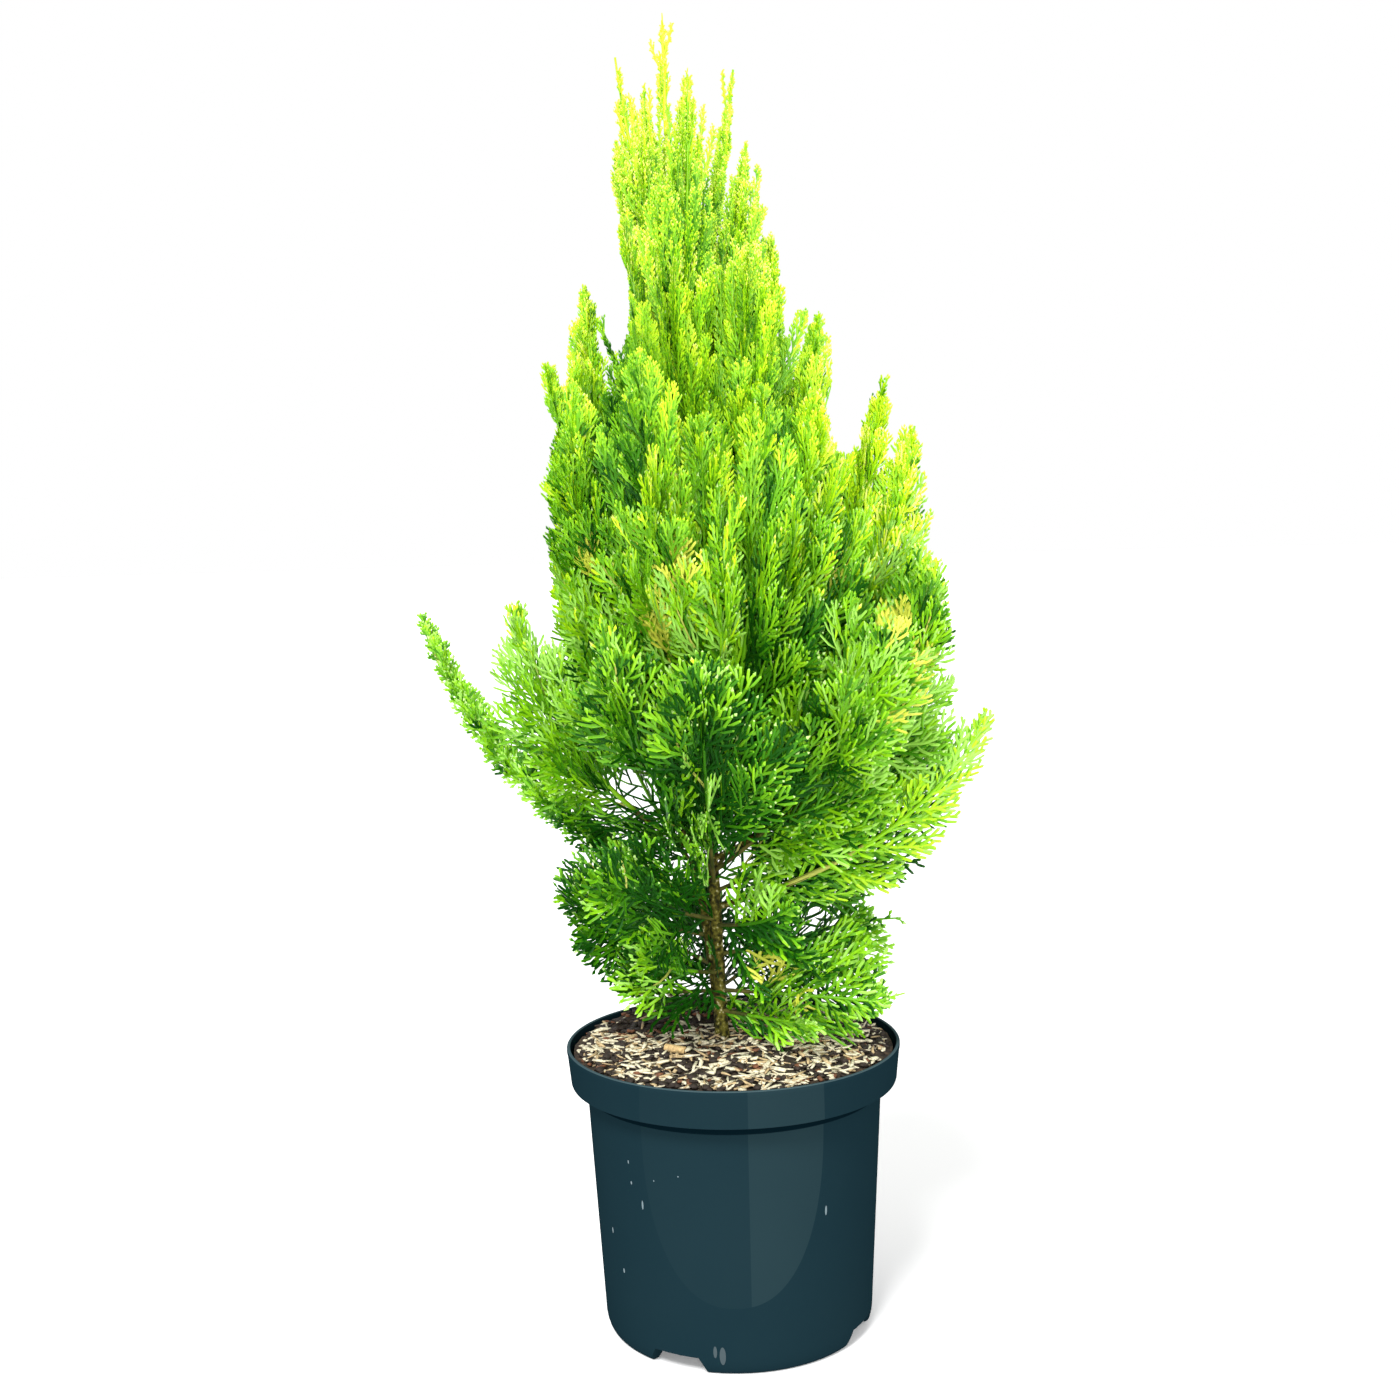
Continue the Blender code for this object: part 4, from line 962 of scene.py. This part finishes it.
def make_foliage(paths, box):
    chance = np.random.default_rng(SEED)
    ribs = joined([sprays_of(path, index) for index, path in enumerate(paths)])
    ribs = kept_to_cells(ribs, paths)
    outlying = np.array([path.mass.name in OUTSIDE_CROWN for path in paths])
    ribs, held = drawn_in(ribs, outlying[ribs.owner], 0.94, 0.015)
    ribs = joined([chosen(ribs, np.nonzero(held)[0]), sprig_strands(paths)])
    sky = np.max([sky_share(tips_of(ribs, share)) for share in SKY_SAMPLES], axis=0)
    ribs = chosen(ribs, np.nonzero(chance.uniform(0, 1, len(sky)) > sky)[0])
    slim = np.array([SLIM.get(path.mass.name, 1.0) for path in paths])[ribs.owner]
    flat = np.array([path.mass.name in FLAT for path in paths])[ribs.owner]
    spread = np.where(flat, FINGER_SHARE, slim)
    tight = np.where(flat, FINGER_TIGHTNESS, 0.3 + 0.7 * slim)
    shoots = side_strands(ribs, SHOOT_PITCH, 0.06, SHOOT_LENGTH, spread, tight, 0.62, 1.0, chance)
    shoots, held = drawn_in(shoots, outlying[ribs.owner[shoots.owner]], 1.04, 0.003)
    sky = np.maximum(sky_share(tips_of(shoots, 0.6)), sky_share(tips_of(shoots, 1.0)))
    held &= (sky == 0) | (chance.uniform(0, 1, len(sky)) > np.maximum(sky, SKY_CHANCE))
    shoots = chosen(shoots, np.nonzero(held)[0])
    slim = slim[shoots.owner]
    tight = 0.3 + 0.7 * slim
    leaflets = side_strands(shoots, LEAFLET_PITCH, 0.10, LEAFLET_LENGTH, slim, tight, 0.70, 0.4, chance)
    sky = (sky_share(tips_of(leaflets, 0.8)) > 0) | flat[shoots.owner][leaflets.owner]
    leaflets = chosen(leaflets, np.nonzero(~sky)[0])
    centre = tips_of(ribs, 0.6)
    away = np.linalg.norm(centre[:, :2] - np.array([-0.01, 0.0]), axis=1)
    limit = np.interp(centre[:, 2], [0.3, 0.55, 0.7, 0.9, 1.07], [0.13, 0.19, 0.17, 0.09, 0.03])
    outer = np.clip((away / limit - 0.35) / 0.6, 0, 1)
    bias = np.array([BRIGHTER.get(path.mass.name, 0) for path in paths])[ribs.owner]
    tones = tone_levels(centre, outer, bias, chance)

    shoot_rib = shoots.owner
    leaflet_rib = shoot_rib[leaflets.owner]
    step = lambda level: np.clip(np.round(level), 0, DARKEST).astype(int)
    # Shoots near a rib's foot and leaflets near a shoot's foot step darker, painted shade where they meet their parent;
    # those towards the tips step lighter, partly because young growth is lighter
    along = lambda place: np.where(place > 0.70, 0.5, 0) - np.where(place < 0.22, 0.8, 0)
    low_down = np.interp(shoots.root[:, 2], [0.5, 0.8], [1.15, 0.60])
    calm = np.array([path.mass.name in CALM for path in paths])[ribs.owner][shoot_rib]
    low_down = np.where(calm, CALM_SHARE * low_down, low_down)
    lighter = along(shoots.tone) + chance.normal(0, 1, len(shoots.tone)) * low_down
    shoot_tone = step(tones[shoot_rib] - lighter + 0.3)
    young = np.where(leaflets.tone > 0.55, 0.4, -0.2)
    leaflet_tone = step(tones[leaflet_rib] - lighter[leaflets.owner] - young)
    tan = tan_strands(shoots, chance)
    shoot_tone = np.where(tan, 7, shoot_tone)
    leaflet_tone = np.where(tan[leaflets.owner], 7, leaflet_tone)

    low, high = np.array(box[0]) - 0.004, np.array(box[1]) + 0.001

    def inside(strands):
        ends = tips_of(strands)
        held = ((ends > low) & (ends < high)).all(1)
        above = (ends[:, 2] > SOIL_TOP + 0.004) & (strands.root[:, 2] > SOIL_TOP + 0.004)
        clear = (ends[:, 2] > POT_HEIGHT + 0.004) | (np.linalg.norm(ends[:, :2], axis=1) < RIM_RADIUS - 0.008)
        return held & above & clear

    materials = [leaf_material(name, colour) for name, colour in LEAF_TONES.items()]
    mass_of_shoot = ribs.owner[shoot_rib]
    mass_of_leaflet = ribs.owner[leaflet_rib]
    keep_shoot, keep_leaflet = inside(shoots), inside(leaflets)
    keep_leaflet &= keep_shoot[leaflets.owner]
    long_shoot = shoots.length > LONG_SHOOT
    long_leaflet = leaflets.length > LONG_LEAFLET
    weight = np.bincount(ribs.owner, minlength=len(paths)) * RIB_FACES + STEM_FACES
    for mass, long, kept, faces in (
        (mass_of_shoot, long_shoot, keep_shoot, SHOOT_FACES),
        (mass_of_leaflet, long_leaflet, keep_leaflet, LEAFLET_FACES),
    ):
        for kind, share in enumerate((~long & kept, long & kept)):
            weight = weight + np.bincount(mass[share], minlength=len(paths)) * faces[kind]
    groups, current, load = [], [], 0
    for index in range(len(paths)):
        if load + weight[index] > MOST_TRIANGLES:
            groups.append(current)
            current, load = [], 0
        current.append(index)
        load += weight[index]
    groups.append(current)
    long = leaflets.length > LONG_LEAFLET
    fan = [path.mass.name for path in paths].index(PALE_STEM)
    total = 0
    for number, group in enumerate(groups):
        parts, slots = [], []

        def add(strands, keep, mass, tone, shares, widths):
            pick = np.nonzero(np.isin(mass, group) & keep)[0]
            points, triangles, of, end = strand_mesh(chosen(strands, pick), shares, widths)
            parts.append((points, triangles))
            own = tone[pick][of]
            height = points[triangles[:, 0], 2]
            # a share of the lighter tips take the pale tone: a painted highlight
            share = np.interp(height, HIGHLIGHT_HEIGHTS, HIGHLIGHT_SHARES) * (own < HIGHLIGHT_ABOVE)
            pale = (end < 0) & (own < TAN_SLOT) & (chance.uniform(0, 1, len(pick))[of] < share)
            # the foot triangles of each strand step one tone darker, painted shade where it meets its parent; the tip
            # triangles step lighter only above PALE_TIPS_ABOVE
            end = np.where((height < PALE_TIPS_ABOVE) & (end < 0), 0, end)
            stepped = np.where(own < TAN_SLOT, np.clip(own + end, 0, DARKEST), own)
            soft = np.interp(height, SOFT_HEIGHTS, (1, 0))
            soft = (stepped < SOFT_ABOVE) & (chance.uniform(0, 1, len(pick))[of] < soft)
            of_fan = (mass[pick][of] == fan) & (stepped == FAN_SLOT)
            softened = np.where(of_fan, FAN_SLOT, SOFT_SLOT)
            slots.append(np.where(pale, HIGHLIGHT_SLOT, np.where(soft, softened, stepped)))

        short = shoots.length <= LONG_SHOOT
        add(shoots, keep_shoot & ~short, mass_of_shoot, shoot_tone, (0, 0.5, 0.92), (0.9, 1.0, 0.85))
        add(shoots, keep_shoot & short, mass_of_shoot, shoot_tone, (0, 0.80), (0.9, 1.0))
        add(leaflets, keep_leaflet & long, mass_of_leaflet, leaflet_tone, (0.42, 0.90), (1.0, 0.85))
        add(leaflets, keep_leaflet & ~long, mass_of_leaflet, leaflet_tone, (0.60,), (1.15,))
        rib_tone = step(tones + np.where(flat, 0, 1))
        low_rib = (ribs.root[:, 2] < 0.60) & (np.arange(len(tones)) % PALE_RIB_EVERY == 0) & ~flat
        rib_tone = np.where(low_rib, RIB_SLOT, rib_tone)
        add(ribs, ribs.length > 0, ribs.owner, rib_tone, (0, 0.35, 0.7, 0.95), (1.1, 1.0, 0.9, 0.7))
        for index in group:
            path = paths[index]
            pale = path.mass.name == PALE_STEM
            shares = np.linspace(PALE_FROM if pale else green_from(path), 1, 20)
            line = np.array([tuple(path.at(t)) for t in shares])
            parts.append(tube(line, np.array([path.radius(t) + 0.0003 for t in shares]), 5))
            run = np.linspace(0, 1, len(parts[-1][1]))
            green = step(np.median(tones[ribs.owner == index]) + 1)
            slots.append(np.where(pale & (run < PALE_UNTIL), RIB_SLOT, green))
        points, triangles = stack(parts)
        total += len(triangles)
        obj = mesh_object(f"sprays_{number + 1}", points, triangles, materials, np.concatenate(slots))
        dress(obj, "foliage", *[f"foliage_{paths[index].mass.name}" for index in group])
    parts = []
    for path in paths:
        if green_from(path) < 0.1:
            continue
        shares = np.linspace(max(path.mass.bare, 0.004), GREEN_FROM + 0.02, 20)
        line = np.array([tuple(path.at(t)) for t in shares])
        parts.append(tube(line, np.array([path.radius(t) for t in shares]), 7))
    points, triangles = stack(parts)
    total += len(triangles)
    obj = mesh_object("twigs", points, triangles, [twig_material()], smooth=True)
    dress(obj, "bark")
    print("FOLIAGE triangles", total, "ribs", len(ribs.length), "shoots", len(shoots.length),
          "leaflets", len(leaflets.length), "pieces", len(groups))


# Pot and soil


def body_radius(height):
    low = FOOT_ROUNDING
    high = POT_HEIGHT - COLLAR_HEIGHT
    top_radius = RIM_RADIUS - COLLAR_TAPER - COLLAR_STEP
    return BODY_LOW_RADIUS + (top_radius - BODY_LOW_RADIUS) * (height - low) / (high - low)


def pot_profile():
    """From the underside's centre, out over the foot, up the outside and down the inside."""
    collar_foot = POT_HEIGHT - COLLAR_HEIGHT
    collar_radius = RIM_RADIUS - COLLAR_TAPER
    under_floor = FLOOR_LEVEL - FLOOR_THICKNESS
    shoulder = body_radius(collar_foot)
    inner_shoulder = collar_foot + WALL
    rounding = []
    for k in range(7):
        turn = math.pi / 2 * k / 6
        radius = FOOT_RADIUS + (BODY_LOW_RADIUS - FOOT_RADIUS) * math.sin(turn)
        rounding.append((radius, FOOT_ROUNDING * (1 - math.cos(turn))))
    return [
        (0, 0), (PAD_RADIUS, 0), (PAD_RADIUS + under_floor, under_floor),
        (FOOT_RADIUS - FOOT_WIDTH, under_floor), (FOOT_RADIUS - FOOT_WIDTH + under_floor / 2, 0),
        *rounding,
        (shoulder, collar_foot - 0.0008), (shoulder + 0.0008, collar_foot),
        (collar_radius - 0.0014, collar_foot), (collar_radius - 0.0004, collar_foot + 0.0004),
        (collar_radius, collar_foot + 0.0014),
        (RIM_RADIUS - 0.0004, POT_HEIGHT - 0.0045), (RIM_RADIUS, POT_HEIGHT - 0.0036),
        (RIM_RADIUS, POT_HEIGHT - 0.0010), (RIM_RADIUS - 0.0006, POT_HEIGHT - 0.0002),
        (RIM_RADIUS - 0.0012, POT_HEIGHT), (RIM_RADIUS - WALL - 0.0004, POT_HEIGHT),
        (RIM_RADIUS - WALL - 0.0010, POT_HEIGHT - 0.0008),
        (collar_radius - WALL, inner_shoulder), (shoulder - WALL, inner_shoulder),
        (BODY_LOW_RADIUS - WALL, FOOT_ROUNDING), (BODY_LOW_RADIUS - WALL - 0.004, FLOOR_LEVEL),
        (0, FLOOR_LEVEL),
    ]


def turned(profile, segments):
    bm = bmesh.new()
    rings = []
    for radius, height in profile:
        if radius == 0:
            rings.append([bm.verts.new((0, 0, height))] * segments)
            continue
        angles = [2 * math.pi * k / segments for k in range(segments)]
        rings.append([bm.verts.new((radius * math.cos(a), radius * math.sin(a), height)) for a in angles])
    for lower, upper in zip(rings, rings[1:]):
        for k in range(segments):
            after = (k + 1) % segments
            bm.faces.new(list(dict.fromkeys([lower[k], lower[after], upper[after], upper[k]])))
    bmesh.ops.recalc_face_normals(bm, faces=bm.faces)
    return bm


def object_from(name, bm, made, smooth_angle=None):
    mesh = bpy.data.meshes.new(name)
    bm.to_mesh(mesh)
    bm.free()
    obj = bpy.data.objects.new(name, mesh)
    bpy.context.scene.collection.objects.link(obj)
    mesh.materials.append(made)
    if smooth_angle is not None:
        mesh.shade_smooth()
        mesh.set_sharp_from_angle(angle=smooth_angle)
    return obj


def notch_cutter(bearing, made):
    bm = bmesh.new()
    corners = []
    for radius in (FOOT_RADIUS - FOOT_WIDTH - 0.004, RIM_RADIUS):
        for half, height in ((NOTCH_HALF_FOOT, -0.004), (NOTCH_HALF_TOP, NOTCH_HEIGHT)):
            for side in (-1, 1):
                angle = math.radians(bearing + side * half)
                corners.append(bm.verts.new((radius * math.sin(angle), -radius * math.cos(angle), height)))
    bmesh.ops.convex_hull(bm, input=corners)
    bmesh.ops.recalc_face_normals(bm, faces=bm.faces)
    return object_from("notch_cutter", bm, made)


def make_pot():
    made = pot_material()
    pot = object_from("nursery_pot", turned(pot_profile(), POT_SEGMENTS), made)
    for bearing in NOTCH_BEARINGS:
        cutter = notch_cutter(bearing, made)
        cut = pot.modifiers.new("notch", "BOOLEAN")
        cut.operation = "DIFFERENCE"
        cut.object = cutter
        bpy.context.view_layer.update()
        graph = bpy.context.evaluated_depsgraph_get()
        mesh = bpy.data.meshes.new_from_object(pot.evaluated_get(graph))
        pot.modifiers.clear()
        pot.data = mesh
        bpy.data.objects.remove(cutter)
    pot.data.shade_smooth()
    pot.data.set_sharp_from_angle(angle=math.radians(32))
    dress(pot, "pot", "pot")


def make_specks():
    """Dried specks and two pale smudges, each a thin scale that lies on the pot's wall."""
    for name, colour, marks in (
        ("pot_specks", (0.11, 0.16, 0.18), SPECKS),
        ("pot_smudges", (0.022, 0.042, 0.050), SMUDGES),
    ):
        parts = []
        for bearing, height, width, length in marks:
            angle = math.radians(bearing)
            outward = np.array([math.sin(angle), -math.cos(angle), 0])
            level = np.array([math.cos(angle), math.sin(angle), 0])
            radius = body_radius(height) + 0.00015
            centre = outward * radius + np.array([0, 0, height])
            slope = (body_radius(height + 0.01) - body_radius(height)) / 0.01
            rise = np.array([0, 0, 1.0]) + outward * slope
            turns = np.linspace(0, 2 * math.pi, 16, endpoint=False)
            ring = [centre + level * (width / 2 * math.cos(a)) + rise * (length / 2 * math.sin(a)) for a in turns]
            ring = [p - outward * (radius - math.sqrt(max(radius ** 2 - ((p - centre) @ level) ** 2, 0))) for p in ring]
            points = np.array(ring + [centre + outward * 0.0001])
            faces = np.array([(k, (k + 1) % 16, 16) for k in range(16)])
            parts.append((points, faces))
        points, triangles = stack(parts)
        made = new_material(name, colour, 0.5)[0]
        obj = mesh_object(name, points, triangles, [made])
        dress(obj, "pot")


def make_peg():
    heading = unit(np.array(PEG_HEADING))
    shares = np.array([-0.5, -0.49, -0.46, -0.2, 0.05, 0.3, 0.46, 0.49, 0.5])
    swell = np.array([0.80, 0.93, 1.0, 0.97, 1.02, 0.98, 1.0, 0.93, 0.80])
    centre = np.array([*PEG_PLACE, soil_height(*PEG_PLACE) + 1.1 * PEG_RADIUS])
    line = centre + heading * (shares * PEG_LENGTH)[:, None]
    points, triangles = tube(line, PEG_RADIUS * swell, 16, 5, 0.05)
    obj = mesh_object("wood_piece", points, triangles, [chip_material("wood_piece", (0.72, 0.50, 0.22))], smooth=True)
    dress(obj, "soil")


def soil_height(x, y):
    """The soil's surface: a low mound round the trunk, with lumps."""
    away = math.hypot(x, y)
    edge = RIM_RADIUS - COLLAR_TAPER - WALL
    share = min(1.0, max(0.0, (edge - away) / (edge - SOIL_MOUND_RADIUS)))
    base = SOIL_EDGE + (SOIL_TOP - SOIL_EDGE) * share
    behind = math.hypot(x - HEAP_PLACE[0], y - HEAP_PLACE[1])
    base += HEAP_HEIGHT * math.exp(-(behind / HEAP_SPREAD) ** 2) * min(1.0, 2 * (1 - share))
    lumps = 0.0022 * noise.noise(Vector((x, y, 0)) * 60) + 0.0016 * noise.noise(Vector((x, y, 3)) * 160)
    return base - 0.0005 + lumps


def make_soil():
    radius = RIM_RADIUS - COLLAR_TAPER - WALL - 0.0009
    bm = bmesh.new()
    rings, segments = 60, 120
    centre = bm.verts.new((0, 0, soil_height(0, 0)))
    previous = [centre] * segments
    for ring in range(1, rings + 1):
        away = radius * ring / rings
        row = []
        for k in range(segments):
            angle = 2 * math.pi * k / segments
            x, y = away * math.cos(angle), away * math.sin(angle)
            row.append(bm.verts.new((x, y, soil_height(x, y))))
        for k in range(segments):
            after = (k + 1) % segments
            bm.faces.new(list(dict.fromkeys([previous[k], previous[after], row[after], row[k]])))
        previous = row
    low = [bm.verts.new((v.co.x, v.co.y, POT_HEIGHT - COLLAR_HEIGHT + WALL + SEAT_GAP)) for v in previous]
    for k in range(segments):
        after = (k + 1) % segments
        bm.faces.new([previous[k], previous[after], low[after], low[k]])
    bm.faces.new(low[::-1])
    bmesh.ops.recalc_face_normals(bm, faces=bm.faces)
    soil = object_from("soil_surface", bm, soil_material(), math.radians(60))
    dress(soil, "soil", "soil")


def make_chips():
    """Wood chips, straw and bits of bark strewn on the soil."""
    chance = np.random.default_rng(SEED + 1)
    kinds = (
        ("chip_straw", (0.62, 0.46, 0.24), 460, (0.009, 0.021), (0.0016, 0.0030)),
        ("chip_pale", (0.90, 0.82, 0.58), 1020, (0.009, 0.021), (0.0018, 0.0036)),
        ("chip_brown", (0.20, 0.075, 0.030), 160, (0.005, 0.012), (0.0028, 0.0055)),
        ("chip_dark", (0.030, 0.018, 0.011), 900, (0.004, 0.010), (0.0030, 0.0060)),
    )
    most = RIM_RADIUS - COLLAR_TAPER - WALL - 0.006
    for name, colour, count, lengths, widths in kinds:
        parts = []
        for _ in range(count):
            away = most * math.sqrt(chance.uniform(0, 1))
            angle = chance.uniform(0, 2 * math.pi)
            x, y = away * math.cos(angle), away * math.sin(angle)
            bare = math.hypot(x - COMPOST_PATCH[0], y - COMPOST_PATCH[1]) < COMPOST_PATCH[2]
            far = y > 0.01
            if name in ("chip_pale", "chip_straw") and chance.uniform(0, 1) < 0.65 * bare + 0.25 * far:
                continue
            if math.hypot(x - PEG_PLACE[0], y - PEG_PLACE[1]) < PEG_CLEAR:
                continue
            length = chance.uniform(*lengths)
            if away + length / 2 > most + 0.003:
                length = lengths[0] * 0.7
            width = chance.uniform(*widths)
            thick = width * chance.uniform(0.35, 0.6)
            spin = chance.uniform(0, math.pi)
            tilt = chance.normal(0, 0.16)
            along = Vector((math.cos(spin) * math.cos(tilt), math.sin(spin) * math.cos(tilt), math.sin(tilt)))
            across = Vector((-math.sin(spin), math.cos(spin), chance.normal(0, 0.3))).normalized()
            over = along.cross(across).normalized()
            centre = Vector((x, y, soil_height(x, y) + chance.uniform(0.0005, 0.0035)))
            corners = []
            for end in (-1, 0.1, 1):
                taper = 1.0 if end == 0.1 else chance.uniform(0.25, 0.9)
                skew = chance.normal(0, 0.10) * length
                for a, b in ((-1, -1), (1, -1), (1, 1), (-1, 1)):
                    corner = centre + along * (end * length / 2) + across * (a * width / 2 * taper)
                    corners.append(tuple(corner + over * (b * thick / 2 * taper) + across * skew * 0.3))
            faces = []
            for ring in (0, 4):
                for k in range(4):
                    n = (k + 1) % 4
                    faces += [(ring + k, ring + n, ring + 4 + n), (ring + k, ring + 4 + n, ring + 4 + k)]
            faces += [(0, 2, 1), (0, 3, 2), (8, 9, 10), (8, 10, 11)]
            parts.append((np.array(corners), np.array(faces)))
        points, triangles = stack(parts)
        obj = mesh_object(name, points, triangles, [chip_material(name, colour)])
        dress(obj, "soil")


# Studio


def make_studio():
    """A white surround that the camera sees at full strength, and softer light from all round."""
    scene = bpy.context.scene
    world = bpy.data.worlds.new("studio")
    world.use_nodes = True
    tree = world.node_tree
    soft = tree.nodes["Background"]
    soft.inputs["Color"].default_value = (1, 1, 1, 1)
    soft.inputs["Strength"].default_value = 0.85
    white = tree.nodes.new("ShaderNodeBackground")
    white.inputs["Strength"].default_value = 1.0
    white.inputs["Color"].default_value = (1, 1, 1, 1)
    path = tree.nodes.new("ShaderNodeLightPath")
    mix = tree.nodes.new("ShaderNodeMixShader")
    tree.links.new(path.outputs["Is Camera Ray"], mix.inputs["Fac"])
    tree.links.new(soft.outputs["Background"], mix.inputs[1])
    tree.links.new(white.outputs["Background"], mix.inputs[2])
    tree.links.new(mix.outputs["Shader"], tree.nodes["World Output"].inputs["Surface"])
    scene.world = world
    bm = bmesh.new()
    bmesh.ops.create_circle(bm, cap_ends=True, segments=96, radius=60.0)
    made, _, shader = new_material("studio_floor", (0.93, 0.93, 0.93), 0.9)
    shader.inputs["Emission Color"].default_value = (1, 1, 1, 1)
    shader.inputs["Emission Strength"].default_value = 0.15
    floor = object_from("floor", bm, made)
    sun = bpy.data.lights.new("key", "SUN")
    sun.energy = 3.0
    sun.angle = math.radians(18)
    key = bpy.data.objects.new("key", sun)
    key.rotation_euler = (math.radians(38), 0, math.radians(-24))
    scene.collection.objects.link(key)
    front = bpy.data.lights.new("fill", "SUN")
    front.energy = 1.7
    front.angle = math.radians(24)
    fill = bpy.data.objects.new("fill", front)
    fill.rotation_euler = (math.radians(80), 0, math.radians(6))
    scene.collection.objects.link(fill)
    scene.view_settings.view_transform = "Standard"


def make_camera():
    camera = bpy.data.cameras.new("camera")
    camera.lens = CAMERA_LENS
    camera.sensor_width = 36.0
    camera.clip_start = 0.05
    obj = bpy.data.objects.new("camera", camera)
    upright = Matrix.Rotation(math.pi / 2 - CAMERA_PITCH, 4, "X")
    rolled = Matrix.Rotation(-CAMERA_ROLL, 4, "Z")
    obj.matrix_world = Matrix.Translation(CAMERA_PLACE) @ upright @ rolled
    bpy.context.scene.collection.objects.link(obj)
    bpy.context.scene.camera = obj


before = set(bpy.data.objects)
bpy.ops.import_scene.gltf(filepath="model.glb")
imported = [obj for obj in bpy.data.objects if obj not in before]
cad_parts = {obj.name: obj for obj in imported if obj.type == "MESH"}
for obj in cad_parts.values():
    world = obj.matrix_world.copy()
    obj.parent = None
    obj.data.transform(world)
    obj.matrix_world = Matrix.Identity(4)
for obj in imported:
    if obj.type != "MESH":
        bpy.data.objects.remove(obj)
cad_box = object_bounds()
paths = [Path(mass) for mass in MASSES]
make_camera()
make_studio()
make_pot()
make_soil()
make_chips()
make_peg()
make_specks()
make_limbs(paths)
make_foliage(paths, cad_box)
